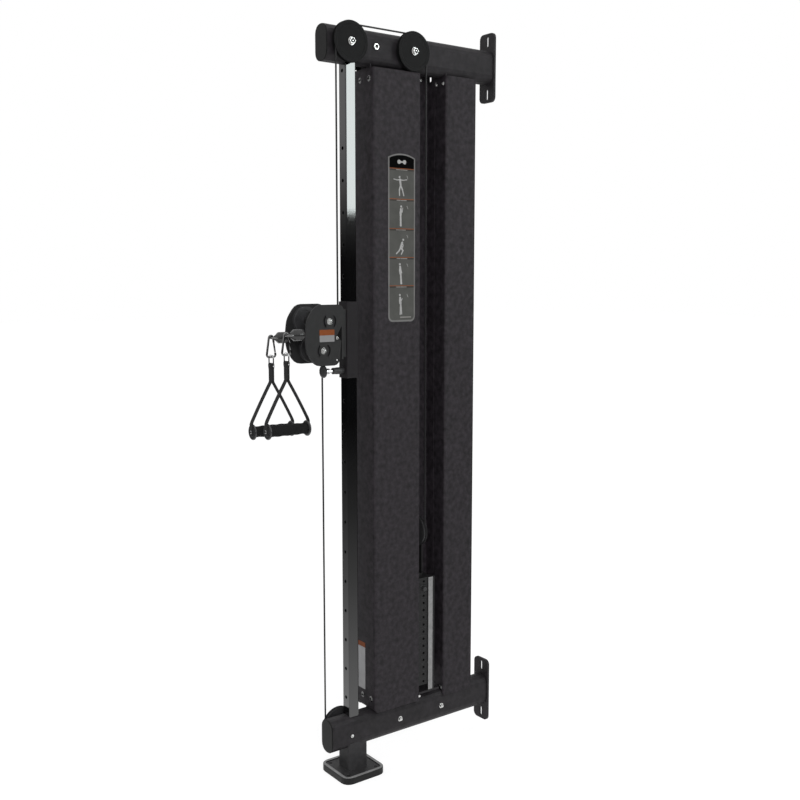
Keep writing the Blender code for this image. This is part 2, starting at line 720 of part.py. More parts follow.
def make_front_shroud(paint):
    sheet = bmesh.new()
    low = LOW_TOP - SHROUD_SIDE_DROP
    front_edge = LOW_TOP + SHROUD_FRONT_RISE
    outline = channel(SHROUD_SIDE, SHROUD_FAR, SHROUD_FRONT, SHROUD_REAR, SHEET, SHROUD_BEND)
    prism(sheet, "Z", outline, low, SHROUD_TOP)
    made = node("front_shroud", sheet, paint)
    ears = bmesh.new()
    for x, z in ear_places():
        side, reach = (1, SHROUD_SIDE) if x > 0 else (-1, SHROUD_FAR)
        box(ears, sorted((side * (SHROUD_SIDE - EAR_WIDTH), side * (reach - SHEET / 4))),
            (EAR_REAR - SHEET, EAR_REAR), (z - EAR_BELOW, z + EAR_ABOVE))
    add(made, ears, "ears")
    rise = front_edge - low
    notch = bmesh.new()
    outline = arc((SHROUD_FRONT + rise, front_edge), rise, 180, 270, 5)
    outline += [(SHROUD_FRONT + rise, low - 0.01), (SHROUD_FRONT - 0.01, low - 0.01),
                (SHROUD_FRONT - 0.01, front_edge)]
    prism(notch, "X", outline, -SHROUD_WIDTH, SHROUD_WIDTH)
    cut(made, notch, "lower_edge")
    holes = bmesh.new()
    for places, face in ((front_screw_places(), SHROUD_FRONT), (ear_places(), SHROUD_REAR)):
        for x, z in places:
            prism(holes, "Y", circle(SCREW_BORE, 8, (x, z)), face - 0.01, face + 0.01)
    cut(made, holes, "screws")


def ear_places():
    heights = (LOW_TOP + EAR_SCREW_RISE, HIGH_BOTTOM - EAR_SCREW_DROP)
    return [(side * (SHROUD_SIDE - EAR_BORE_INSET), z) for z in heights for side in (-1, 1)]


def front_screw_places():
    heights = (LOW_TOP + FRONT_SCREW_RISE, HIGH_BOTTOM - FRONT_SCREW_DROP)
    return [(side * FRONT_SCREW_X, z) for z in heights for side in (-1, 1)]


def rear_screw_places():
    low, high = LOW_TOP + REAR_LOW_SCREW_RISE, HIGH_BOTTOM - REAR_SCREW_DROP
    return ([(side * REAR_LOW_SCREW_X, low) for side in (-1, 1)]
            + [(side * REAR_SCREW_X, high) for side in (-1, 1)])


def make_rear_shroud(paint):
    sheet = bmesh.new()
    outline = channel(REAR_WIDTH / 2, REAR_WIDTH / 2, REAR_FRONT, REAR_FRONT + REAR_DEPTH, SHEET, REAR_BEND)
    prism(sheet, "Z", outline, LOW_TOP - REAR_OVERLAP, HIGH_BOTTOM + REAR_TOP_OVERLAP)
    made = node("rear_shroud", sheet, paint)
    for end, middle, _ in BEAM_ENDS:
        cut(made, beam_room(bmesh.new(), middle, 2 * GAP, BEAM_FRONT, BEAM_REAR), f"{end}_beam")
    holes = bmesh.new()
    for x, z in rear_screw_places():
        prism(holes, "Y", circle(SCREW_BORE, 8, (x, z)), REAR_FRONT - 0.01, REAR_FRONT + 0.01)
    cut(made, holes, "screws")


def make_far_cover(paint):
    """The folded sheet that closes the space between the two shrouds on the far side."""
    wall_x = -(SHROUD_FAR + GAP + SHEET / 2)
    rear_y = REAR_FRONT - GAP - SHEET / 2
    line = [(wall_x, SHROUD_REAR - COVER_LIP), (wall_x, rear_y), (wall_x + COVER_RETURN, rear_y)]
    sheet = bmesh.new()
    top = HIGH_BOTTOM + COVER_TOP_LAP
    prism(sheet, "Z", strip(line, SHEET), LOW_TOP + COVER_RISE, top)
    made = node("far_side_cover", sheet, paint)
    relief = bmesh.new()
    box(relief, (-0.2, 0.0), (0.0, SHROUD_REAR + 0.013), (SHROUD_TOP, top + 0.01))
    cut(made, relief, "pulley_relief")
    cut(made, beam_room(bmesh.new(), HIGH_MID, 2 * GAP, BEAM_FRONT, BEAM_REAR), "beam")
    slot = bmesh.new()
    centre = (wall_x + COVER_SLOT_INSET, HIGH_BOTTOM + 0.0035)
    prism(slot, "Y", rounded(COVER_SLOT_WIDTH, COVER_SLOT_HEIGHT, COVER_SLOT_WIDTH / 2 - 0.0001, centre),
          REAR_FRONT - 0.01, REAR_FRONT + 0.005)
    cut(made, slot, "slot")


# Root and stack: rods, plates and the label rail

def plate_rings(level):
    """A plate's outline with its edges broken, as one stretch of a loft."""
    low = STACK_BOTTOM + level * PLATE_PITCH
    high = low + PLATE_PITCH - GAP
    centre = (0, (PLATE_FRONT + PLATE_REAR) / 2)
    wide = rounded(PLATE_WIDTH, PLATE_LENGTH, 0.004, centre, 1)
    slim = rounded(PLATE_WIDTH - 2 * PLATE_EDGE, PLATE_LENGTH - 2 * PLATE_EDGE, 0.004 - PLATE_EDGE, centre, 1)
    return [(slim, low), (wide, low + PLATE_EDGE), (wide, high - PLATE_EDGE), (slim, high)]


def hole_height(level):
    return STACK_BOTTOM + (level + 0.5) * PLATE_PITCH


def drill_plates(made, levels, bore):
    """The bores for the rods and, where it slides, the stem; and a pin hole in each plate's side."""
    bores = bmesh.new()
    for y in ROD_YS:
        prism(bores, "Z", circle(ROD_RADIUS + ROD_CLEAR, 16, (0, y)), STACK_BOTTOM - 0.01, STACK_TOP + 0.01)
    if bore:
        prism(bores, "Z", circle(bore, 12, (0, STACK_LINE_Y)), STACK_BOTTOM - 0.01, STACK_TOP + 0.01)
    cut(made, bores, "bores")
    holes = bmesh.new()
    for level in levels:
        prism(holes, "X", circle(SELECT_HOLE, 8, (STACK_LINE_Y, hole_height(level))), 0.001, PLATE_WIDTH)
    cut(made, holes, "pin_holes")


def make_stack(iron, rubber, label, chrome, plastic, lift, pin_slide):
    for name, y in zip(("front_guide_rod", "rear_guide_rod"), ROD_YS):
        rod = bmesh.new()
        prism(rod, "Z", circle(ROD_RADIUS, 16, (0, y)), LOW_TOP - 0.008, TOP_DECK + ROD_TOP_REACH)
        node(name, rod, chrome)

    cushion = bmesh.new()
    size = 2 * CUSHION_RADIUS
    prism(cushion, "Z", rounded(size, size + ROD_SPACING, CUSHION_RADIUS - 0.001, (0, sum(ROD_YS) / 2), 4),
          DECK_TOP + GAP, STACK_BOTTOM - GAP)
    made = node("stack_cushion", cushion, rubber)
    bores = bmesh.new()
    for y in ROD_YS:
        prism(bores, "Z", circle(ROD_RADIUS + GAP, 16, (0, y)), DECK_TOP - 0.01, STACK_BOTTOM + 0.01)
    cut(made, bores)

    stem_bore = STEM_RADIUS + STEM_CLEAR
    picked, top = PLATE_COUNT - 2, PLATE_COUNT - 1
    resting = loft(bmesh.new(), "Z", [ring for level in range(picked)
                                      for ring in plate_rings(level)[bool(level):]])
    drill_plates(node("resting_plates", resting, iron), range(picked), stem_bore)
    plate = loft(bmesh.new(), "Z", plate_rings(picked))
    drill_plates(node("selected_plate", plate, iron, lift), [picked], stem_bore)

    plate = loft(bmesh.new(), "Z", plate_rings(top))
    made = node("top_plate_and_stem", plate, iron, lift)
    stem = bmesh.new()
    prism(stem, "Z", circle(STEM_RADIUS, 12, (0, STACK_LINE_Y)), STACK_BOTTOM + 0.002, STACK_TOP - 2 * PLATE_EDGE)
    add(made, stem, "stem")
    drill_plates(made, [top], 0)
    cross = bmesh.new()
    for level in range(top):
        prism(cross, "X", circle(SELECT_HOLE, 6, (STACK_LINE_Y, hole_height(level))), -0.02, 0.02)
    cut(made, cross, "cross_holes")

    side = PLATE_WIDTH / 2
    pin = bmesh.new()
    turned(pin, "X", (STACK_LINE_Y, hole_height(picked)),
           [(PIN_RADIUS * 0.6, -STEM_RADIUS), (PIN_RADIUS, 0.002 - STEM_RADIUS), (PIN_RADIUS, side + GAP),
            (PIN_HEAD_RADIUS, side + GAP), (PIN_HEAD_RADIUS, side + PIN_HEAD_LENGTH - 0.002),
            (PIN_HEAD_RADIUS - 0.002, side + PIN_HEAD_LENGTH)], 12)
    node("selector_pin", pin, plastic, pin_slide)

    inner, outer = side + GAP, side + GAP + LABEL_THICK
    back, rear = PLATE_REAR + GAP, PLATE_REAR + GAP + LABEL_THICK
    outline = [(inner, PLATE_REAR - LABEL_WIDTH), (outer, PLATE_REAR - LABEL_WIDTH), (outer, rear),
               (outer - LABEL_RETURN, rear), (outer - LABEL_RETURN, back), (inner, back)]
    rail = prism(bmesh.new(), "Z", outline, DECK_TOP + GAP, STACK_TOP)
    node("label_rail", rail, label, smooth=False)


def make_yoke(steel, plastic, lift, spin):
    """The fork on the top plate, with its pin, and the pulley that hangs the stack on its cable."""
    half = PULLEY_WIDTH / 2 + YOKE_ROOM
    outer = half + YOKE_CHEEK
    low = STACK_TOP + GAP
    high = STACK_PULLEY_Z + YOKE_TOP
    centre = (0, STACK_PULLEY_Z)
    y = STACK_LINE_Y
    outline = [(y - outer, low), (y + outer, low), (y + outer, high), (y + half, high),
               (y + half, low + YOKE_BASE), (y - half, low + YOKE_BASE), (y - half, high), (y - outer, high)]
    yoke = prism(bmesh.new(), "X", outline, -YOKE_WIDTH / 2, YOKE_WIDTH / 2)
    made = node("stack_yoke", yoke, steel, lift)
    pin = bmesh.new()
    turned(pin, "Y", centre, [(YOKE_PIN_HEAD, y - outer - 0.004), (YOKE_PIN_HEAD, y - outer + WELD),
                              (YOKE_PIN, y - outer + WELD), (YOKE_PIN, y + outer - WELD),
                              (YOKE_PIN_HEAD, y + outer - WELD), (YOKE_PIN_HEAD, y + outer + 0.004)], 12)
    add(made, pin, "pin")
    disc = bmesh.new()
    pulley(disc, "Y", centre, y, CABLE_X + STACK_PULLEY_MARGIN, CABLE_X, YOKE_PIN + GAP, 24)
    node("stack_pulley", disc, plastic, spin)


# Root: pulleys on the beams and their axles

def side_pulley(name, side, y, z, plastic, spin):
    disc = bmesh.new()
    pulley(disc, "X", (y, z), side * CABLE_X, PULLEY_RIM, PULLEY_PITCH, AXLE_RADIUS + GAP, 24)
    node(name, disc, plastic, spin)


def make_axle(name, side, y, z, steel, stop):
    """An axle bolt: its head and washer outside the pulley, a shoulder between pulley and beam.

    It goes on through the beam to a nut, whose seat lies at a given distance past the middle.
    """
    centre = (y, z)
    face, inner = CABLE_X + PULLEY_WIDTH / 2 + GAP, CABLE_X - PULLEY_WIDTH / 2 - GAP
    beam = BEAM_SIDE + GAP
    head = face + WASHER + AXLE_HEAD_HEIGHT
    shank, shoulder = circle(AXLE_RADIUS, 12, centre), circle(SPACER_RADIUS, 12, centre)
    washer, flats = circle(AXLE_WASHER, 12, centre), hexagon(AXLE_FLAT, centre)
    nut = hexagon(AXLE_NUT_FLAT, centre)
    stations = [(hexagon(AXLE_FLAT * 0.85, centre), head), (flats, head - 0.0015), (flats, face + WASHER),
                (washer, face + WASHER), (washer, face), (shank, face), (shank, inner), (shoulder, inner),
                (shoulder, beam), (shank, beam)]
    if stop > inner:
        stations += [(shank, -beam), (shoulder, -beam), (shoulder, -inner)]
        stations += [(shank, -inner), (shank, -stop)]
    else:
        stations += [(shank, -stop)]
    stations += [(nut, -stop), (nut, -stop - AXLE_NUT_HEIGHT), (shank, -stop - AXLE_NUT_HEIGHT),
                 (shank, -stop - AXLE_NUT_HEIGHT - 0.002)]
    axle = loft(bmesh.new(), "X", [(outline, side * w) for outline, w in stations])
    node(name, axle, steel)


def make_axles(steel):
    beam = BEAM_SIDE + GAP
    make_axle("top_front_axle", 1, FRONT_AXLE_Y, HIGH_AXLE_Z, steel, beam)
    make_axle("top_rear_axle", 1, REAR_AXLE_Y, HIGH_AXLE_Z, steel, CABLE_X + PULLEY_WIDTH / 2 + GAP)
    make_axle("far_middle_axle", -1, MIDDLE_AXLE_Y, HIGH_AXLE_Z, steel, beam)
    make_axle("bottom_front_axle", -1, FRONT_AXLE_Y, LOW_AXLE_Z, steel, -(BEAM_SIDE - BEAM_WALL - GAP))


# Cable, in stretches that meet face to face

def upright(side, points):
    return [Vector((side * CABLE_X, y, z)) for y, z in points]


def turn(y, z, radius, start, end):
    steps = max(2, round(abs(end - start) / ARC_STEP))
    return arc((y, z), radius, start, end, steps)


def lay(name, points, cord, parent=None, normal=(1, 0, 0)):
    node(name, sweep(bmesh.new(), points, CABLE_RADIUS, normal, 6), cord, parent)


def make_cables(cord, slide):
    high, low, pitch = HIGH_AXLE_Z, LOW_AXLE_Z, PULLEY_PITCH
    lay("cable_near_top", upright(1, turn(FRONT_AXLE_Y, high, pitch, 180, 90)
                                  + turn(REAR_AXLE_Y, high, pitch, 90, 0)), cord)
    lay("cable_far_route", upright(-1, turn(REAR_AXLE_Y, high, pitch, 0, 90)
                                   + turn(MIDDLE_AXLE_Y, high, pitch, 90, 180)
                                   + turn(FRONT_AXLE_Y, low, pitch, 0, -180)), cord)
    lay("cable_near_run", upright(1, [(CABLE_FRONT_Y, HEAD_UPPER_Z + GAP), (CABLE_FRONT_Y, high - GAP)]), cord)
    lay("cable_far_run", upright(-1, [(CABLE_FRONT_Y, low + GAP), (CABLE_FRONT_Y, HEAD_LOWER_Z - GAP)]), cord)
    bend = arc((0, STACK_PULLEY_Z), CABLE_X, 0, -180, round(180 / ARC_STEP))
    line = [(CABLE_X, high - GAP)] + bend + [(-CABLE_X, high - GAP)]
    lay("cable_stack_fall", [Vector((x, STACK_LINE_Y, z)) for x, z in line], cord, None, (0, 1, 0))
    for name, side, z, way, level in (("cable_near_tail", 1, HEAD_UPPER_Z, -90, NEAR_END_Z),
                                      ("cable_far_tail", -1, HEAD_LOWER_Z, 90, FAR_END_Z)):
        line = turn(DRIVE_Y, z, HEAD_PITCH_RADIUS, 0, way) + [(STOP_REAR + GAP, level)]
        lay(name, upright(side, line), cord, slide)


# Carriage: sleeve, liners, head and spring pin

def make_sleeve(paint, plastic, slide):
    inner = SLEEVE_SIZE - 2 * SLEEVE_WALL
    sleeve = tube(bmesh.new(), "Z", rounded(SLEEVE_SIZE, SLEEVE_SIZE, SLEEVE_CORNER, (0, POST_Y)),
                  rounded(inner, inner, SLEEVE_CORNER - SLEEVE_WALL, (0, POST_Y)), SLEEVE_BOTTOM, SLEEVE_TOP)
    made = node("carriage_sleeve", sleeve, paint, slide)
    hole = prism(bmesh.new(), "Y", circle(POP_PIN_RADIUS + GAP, 12, (0, PIN_Z)), SLEEVE_FRONT - 0.005,
                 SLEEVE_FRONT + 2 * SLEEVE_WALL)
    cut(made, hole)
    outer = inner - 2 * GAP
    bore = outer - 2 * LINER_THICK
    liner = tube(bmesh.new(), "Z", rounded(outer, outer, SLEEVE_CORNER - SLEEVE_WALL - GAP, (0, POST_Y)),
                 rounded(bore, bore, 0.0005, (0, POST_Y)), PIN_Z + LINER_ABOVE_PIN, SLEEVE_TOP)
    node("sleeve_liner", liner, plastic, slide)


def head_outline():
    """The side plate seen from the near side: a lobe round each pulley and a notch behind."""
    corners = zip(HEAD_CORNER_YS, HEAD_CORNER_RISES, HEAD_CORNER_RADII)
    return filleted([(y, PIN_Z + z, radius) for y, z, radius in corners])


def head_axle_places():
    """Side, place and height of the four pulleys of the head."""
    return {"near_upper_pulley": (1, DRIVE_Y, HEAD_UPPER_Z), "near_lower_pulley": (1, GUIDE_Y, HEAD_LOWER_Z),
            "far_upper_pulley": (-1, GUIDE_Y, HEAD_UPPER_Z), "far_lower_pulley": (-1, DRIVE_Y, HEAD_LOWER_Z)}


def make_head(paint, slide):
    """The head is one weldment: back plate, middle web, gussets, side plates and stub axles."""
    front = HEAD_BACK_Y - HEAD_BACK_THICK
    inside = HEAD_HALF_WIDTH - HEAD_PLATE_THICK
    low, high = PIN_Z + HEAD_BACK_LOW, PIN_Z + HEAD_BACK_HIGH
    back = box(bmesh.new(), (-inside - WELD, inside + WELD), (front, HEAD_BACK_Y), (low, high))
    made = node("pulley_head", back, paint, slide)
    web = box(bmesh.new(), (-HEAD_WEB_THICK / 2, HEAD_WEB_THICK / 2), (HEAD_WEB_FRONT, front + WELD),
              (PIN_Z + HEAD_WEB_LOW, PIN_Z + HEAD_WEB_HIGH))
    add(made, web, "web")
    gussets = bmesh.new()
    plates = bmesh.new()
    stubs = bmesh.new()
    for side in (-1, 1):
        box(gussets, sorted((side * GUSSET_X, side * (GUSSET_X + GUSSET_THICK))),
            (HEAD_BACK_Y - WELD, SLEEVE_FRONT - GAP), (low + 0.002, high - 0.002))
        prism(plates, "X", head_outline(), *sorted((side * inside, side * HEAD_HALF_WIDTH)))
    for side, y, z in head_axle_places().values():
        web_in, web_out = HEAD_WEB_THICK / 2 - WELD, HEAD_WEB_THICK / 2
        inner, outer = CABLE_X - PULLEY_WIDTH / 2 - GAP, CABLE_X + PULLEY_WIDTH / 2 + GAP
        profile = [(SPACER_RADIUS, web_in), (SPACER_RADIUS, inner), (HEAD_AXLE, inner), (HEAD_AXLE, outer),
                   (SPACER_RADIUS, outer), (SPACER_RADIUS, inside + WELD)]
        turned(stubs, "X", (y, z), [(r, side * w) for r, w in profile], 12)
    add(made, gussets, "gussets")
    add(made, plates, "side_plates")
    add(made, stubs, "stub_axles")
    openings = bmesh.new()
    reach = HEAD_PLATE_THICK * 1.5
    for side in (-1, 1):
        xs = sorted((side * (HEAD_HALF_WIDTH - reach), side * (HEAD_HALF_WIDTH + reach)))
        for rise in PLATE_HOLE_RISES:
            prism(openings, "X", circle(PLATE_HOLE, 8, (PLATE_HOLE_Y, PIN_Z + rise)), *xs)
    for side, y, z in head_axle_places().values():
        xs = sorted((side * (HEAD_HALF_WIDTH - reach), side * (HEAD_HALF_WIDTH + reach)))
        for start, end in ((-50, 50), (130, 230)):
            inside_edge = arc((y, z), ARC_SLOT_RADIUS - ARC_SLOT_WIDTH / 2, end, start, 4)
            outside_edge = arc((y, z), ARC_SLOT_RADIUS + ARC_SLOT_WIDTH / 2, start, end, 4)
            prism(openings, "X", outside_edge + inside_edge, *xs)
    cut(made, openings, "openings")


def make_head_pulley(name, plastic, spin):
    side, y, z = head_axle_places()[name]
    disc = bmesh.new()
    pulley(disc, "X", (y, z), side * CABLE_X, HEAD_RIM_RADIUS, HEAD_PITCH_RADIUS, HEAD_AXLE + GAP, 20)
    node(name, disc, plastic, spin)


def make_pop_pin(dark, chrome, slide, pull):
    """The locking pin, drawn back as it is while the carriage moves."""
    rear = SLEEVE_FRONT - GAP
    front = rear - POP_HOUSING_LENGTH
    bore, cavity, outer = POP_PIN_RADIUS + GAP, POP_HOUSING_BORE, POP_HOUSING_RADIUS
    housing = bmesh.new()
    turned(housing, "Y", (0, PIN_Z),
           [(bore, front), (outer - 0.001, front), (outer, front + 0.001), (outer, rear), (bore, rear),
            (bore, rear - POP_END_WALL), (cavity, rear - POP_END_WALL), (cavity, front + POP_END_WALL),
            (bore, front + POP_END_WALL)], 16, ring=True)
    node("pop_pin_housing", housing, dark, slide)

    tip = POST_FRONT - POP_TIP_CLEAR
    collar_rear = rear - POP_END_WALL - POP_TRAVEL - 0.004
    collar_front = collar_rear - POP_COLLAR_THICK
    neck_rear = front - POP_TRAVEL - GAP
    neck_front = neck_rear - POP_NECK_LENGTH
    knob_front = neck_front - POP_KNOB_LENGTH
    collar = cavity - POP_COLLAR_CLEAR
    plunger = bmesh.new()
    turned(plunger, "Y", (0, PIN_Z),
           [(POP_KNOB_RADIUS * 0.6, knob_front), (POP_KNOB_RADIUS * 0.9, knob_front + POP_KNOB_DOME * 0.4),
            (POP_KNOB_RADIUS, knob_front + POP_KNOB_DOME), (POP_KNOB_RADIUS, neck_front - POP_KNOB_BACK),
            (POP_KNOB_RADIUS * 0.85, neck_front), (POP_NECK_RADIUS, neck_front), (POP_NECK_RADIUS, neck_rear),
            (POP_PIN_RADIUS, neck_rear), (POP_PIN_RADIUS, collar_front), (collar, collar_front),
            (collar, collar_rear), (POP_PIN_RADIUS, collar_rear), (POP_PIN_RADIUS, tip - 0.001),
            (POP_PIN_RADIUS - 0.001, tip)], 16)
    node("pop_pin_plunger", plunger, chrome, pull)

    spring = bmesh.new()
    low, high = front + POP_END_WALL + GAP + SPRING_WIRE, collar_front - GAP - SPRING_WIRE
    radius = (cavity + POP_PIN_RADIUS) / 2
    count = SPRING_TURNS * 8
    coil = [Vector((radius * cos(2 * pi * i / 8), low + (high - low) * i / count,
                    PIN_Z + radius * sin(2 * pi * i / 8))) for i in range(count + 1)]
    sweep(spring, coil, SPRING_WIRE, (0, 1, 0), 4)
    node("pop_pin_spring", spring, chrome, slide)


# Cable ends, carabiners and handles

def make_stop(name, side, z, plastic, pull):
    x = side * CABLE_X
    tip = STOP_REAR - STOP_LENGTH - STOP_NOSE
    front = STOP_REAR - STOP_LENGTH
    body = bmesh.new()
    turned(body, "Y", (x, z), [(STOP_RADIUS - 0.003, STOP_REAR), (STOP_RADIUS, STOP_REAR - 0.003),
                               (STOP_RADIUS, front + 0.004), (STOP_RADIUS - 0.004, front),
                               (STOP_RADIUS - 0.009, tip)], 16)
    made = node(name, body, plastic, pull)
    eye = bmesh.new()
    half, corner = EYE_HALF, EYE_CORNER
    start = front - 0.0015
    line = ([(x - half, start)] + arc((x - half + corner, EYE_Y + corner), corner, 180, 270, 4)
            + arc((x + half - corner, EYE_Y + corner), corner, 270, 360, 4) + [(x + half, start)])
    sweep(eye, [Vector((u, v, z)) for u, v in line], EYE_WIRE, (0, 0, 1), 6)
    add(made, eye, "eye")


def clip_lines(z):
    """Centre lines of a carabiner in its own plane: the open body and the gate that closes it."""
    top = (EYE_Y, z)
    radius = EYE_WIRE + RUN + CLIP_WIRE
    low = z - CLIP_DROP
    inset = CLIP_HALF - CLIP_CORNER
    lean = atan2(CLIP_HALF - radius, CLIP_DROP - CLIP_CORNER) * 180 / pi
    rear_top = arc(top, radius, lean, lean, 1)[0]
    front_corner = arc((EYE_Y - inset, low + CLIP_CORNER), CLIP_CORNER, 180 - lean, 270, 4)
    rear_corner = arc((EYE_Y + inset, low + CLIP_CORNER), CLIP_CORNER, 270, 360 + lean, 4)
    rear_low = rear_corner[-1]

    def leg(part):
        return (rear_top[0] + (rear_low[0] - rear_top[0]) * part, rear_top[1] + (rear_low[1] - rear_top[1]) * part)

    length = hypot(rear_low[0] - rear_top[0], rear_low[1] - rear_top[1])
    hinge = leg(CLIP_HINGE)
    body = ([leg(CLIP_NOSE)] + arc(top, radius, lean, 180 - lean, 8) + front_corner + rear_corner[:-1]
            + [rear_low, leg(CLIP_HINGE + (GATE_WIRE + GAP) / length)])
    return body, leg(CLIP_NOSE + GAP / length), hinge


def make_clip(prefix, side, z, steel, chrome, swing, gate_turn):
    x = side * CABLE_X
    line, gate_top, hinge = clip_lines(z)
    body = bmesh.new()
    sweep(body, [Vector((x, u, v)) for u, v in line], CLIP_WIRE, (1, 0, 0), 6)
    node(f"{prefix}_carabiner", body, steel, swing)
    gate = bmesh.new()
    start, end = Vector((x, *gate_top)), Vector((x, *hinge))
    along = (end - start).normalized()
    across = Vector((1, 0, 0))
    other = along.cross(across)
    length = (end - start).length
    profile = [(GATE_WIRE, 0.0), (GATE_WIRE, length), (GATE_WIRE * 0.87, length + GATE_WIRE * 0.5),
               (GATE_WIRE * 0.5, length + GATE_WIRE * 0.87), (GATE_WIRE * 0.1, length + GATE_WIRE * 0.99)]
    rings = [[start + along * s + r * (across * cos(2 * pi * (k + 0.5) / 8) + other * sin(2 * pi * (k + 0.5) / 8))
              for k in range(8)] for r, s in profile]
    skin(gate, rings, False)
    node(f"{prefix}_gate", gate, chrome, gate_turn)


def strap_legs(split, grip_z):
    """The strap's two legs, as offsets from its middle: a fork that ends over the grip's discs."""
    out = GRIP_LENGTH / 2 + DISC_THICK + 3 * GAP + WEB_THICK
    bend = grip_z + DISC_RADIUS + STRAP_BEND_MARGIN
    slope = (out - CUFF_HALF_THICK) / (split - bend)
    across = WEB_THICK * hypot(1, slope)
    half = [(CUFF_HALF_THICK, split + 0.010), (CUFF_HALF_THICK, split), (out, bend),
            (out, grip_z - STRAP_END_DROP), (out - WEB_THICK, grip_z - STRAP_END_DROP),
            (out - WEB_THICK, bend - (across - WEB_THICK) / slope)]
    crotch = (0.0, split + (CUFF_HALF_THICK - across) / slope)
    return half + [crotch] + [(-u, v) for u, v in reversed(half)]


def make_handle(prefix, side, z, fabric, steel, foam, swing, spin):
    x = side * CABLE_X
    clip_low = z - CLIP_DROP
    ring_top = clip_low + CLIP_WIRE + RUN + RING_WIRE
    ring_z = clip_low - RING_DROP
    grip_z = z - GRIP_DROP
    split = z - SPLIT_DROP

    def across(outline):
        return [(EYE_Y + u, v) for u, v in outline]

    legs = prism(bmesh.new(), "X", across(strap_legs(split, grip_z)), x - LEG_WIDTH / 2, x + LEG_WIDTH / 2)
    made = node(f"{prefix}_strap", legs, fabric, swing)
    fold = arc((0, ring_z), FOLD_RADIUS, 80, -15, 5)
    cuff_half = fold + [(CUFF_HALF_THICK + WELD, ring_z - 1.5 * FOLD_RADIUS), (CUFF_HALF_THICK + WELD, split)]
    cuff = prism(bmesh.new(), "X", across(cuff_half + [(-u, v) for u, v in reversed(cuff_half)]),
                 x - WEB_WIDTH / 2, x + WEB_WIDTH / 2)
    add(made, cuff, "cuff")
    eye = prism(bmesh.new(), "X", circle(RING_WIRE + RUN, 12, (EYE_Y, ring_z)), x - WEB_WIDTH, x + WEB_WIDTH)
    cut(made, eye, "fold")
    holes = prism(bmesh.new(), "Y", circle(HANDLE_ROD + GAP, 12, (x, grip_z)), EYE_Y - GRIP_LENGTH,
                  EYE_Y + GRIP_LENGTH)
    cut(made, holes, "rivets")

    line = (arc((x + RING_HALF - RING_TOP_CORNER, ring_top - RING_TOP_CORNER), RING_TOP_CORNER, 0, 90, 4)
            + arc((x - RING_HALF + RING_TOP_CORNER, ring_top - RING_TOP_CORNER), RING_TOP_CORNER, 90, 180, 4)
            + arc((x - RING_HALF + RING_LOW_CORNER, ring_z + RING_LOW_CORNER), RING_LOW_CORNER, 180, 270, 3)
            + arc((x + RING_HALF - RING_LOW_CORNER, ring_z + RING_LOW_CORNER), RING_LOW_CORNER, 270, 360, 3))
    ring = sweep(bmesh.new(), [Vector((u, EYE_Y, v)) for u, v in line], RING_WIRE, (0, 1, 0), 6, closed=True)
    node(f"{prefix}_ring", ring, steel, swing)

    inner = GRIP_LENGTH / 2 + GAP
    outer = inner + DISC_THICK
    seat = outer + 3 * GAP + WEB_THICK
    half = [(HANDLE_ROD, inner), (DISC_RADIUS, inner), (DISC_RADIUS - DISC_EDGE, outer), (HANDLE_ROD, outer),
            (HANDLE_ROD, seat), (RIVET_HEAD, seat), (RIVET_HEAD * 0.7, seat + RIVET_HEIGHT)]
    core = turned(bmesh.new(), "Y", (x, grip_z),
                  [(r, EYE_Y - w) for r, w in reversed(half)] + [(r, EYE_Y + w) for r, w in half], 16)
    node(f"{prefix}_handle_core", core, steel, swing)

    reach = GRIP_LENGTH / 2 - GAP
    bore = HANDLE_ROD + GAP
    outline = [(bore, -reach), (GRIP_END_RADIUS, -reach), (GRIP_RADIUS, -reach * 0.86), (GRIP_RADIUS, 0.0),
               (GRIP_RADIUS, reach * 0.86), (GRIP_END_RADIUS, reach), (bore, reach)]
    grip = turned(bmesh.new(), "Y", (x, grip_z), [(r, EYE_Y + w) for r, w in outline], 16, ring=True)
    node(f"{prefix}_grip", grip, foam, spin)


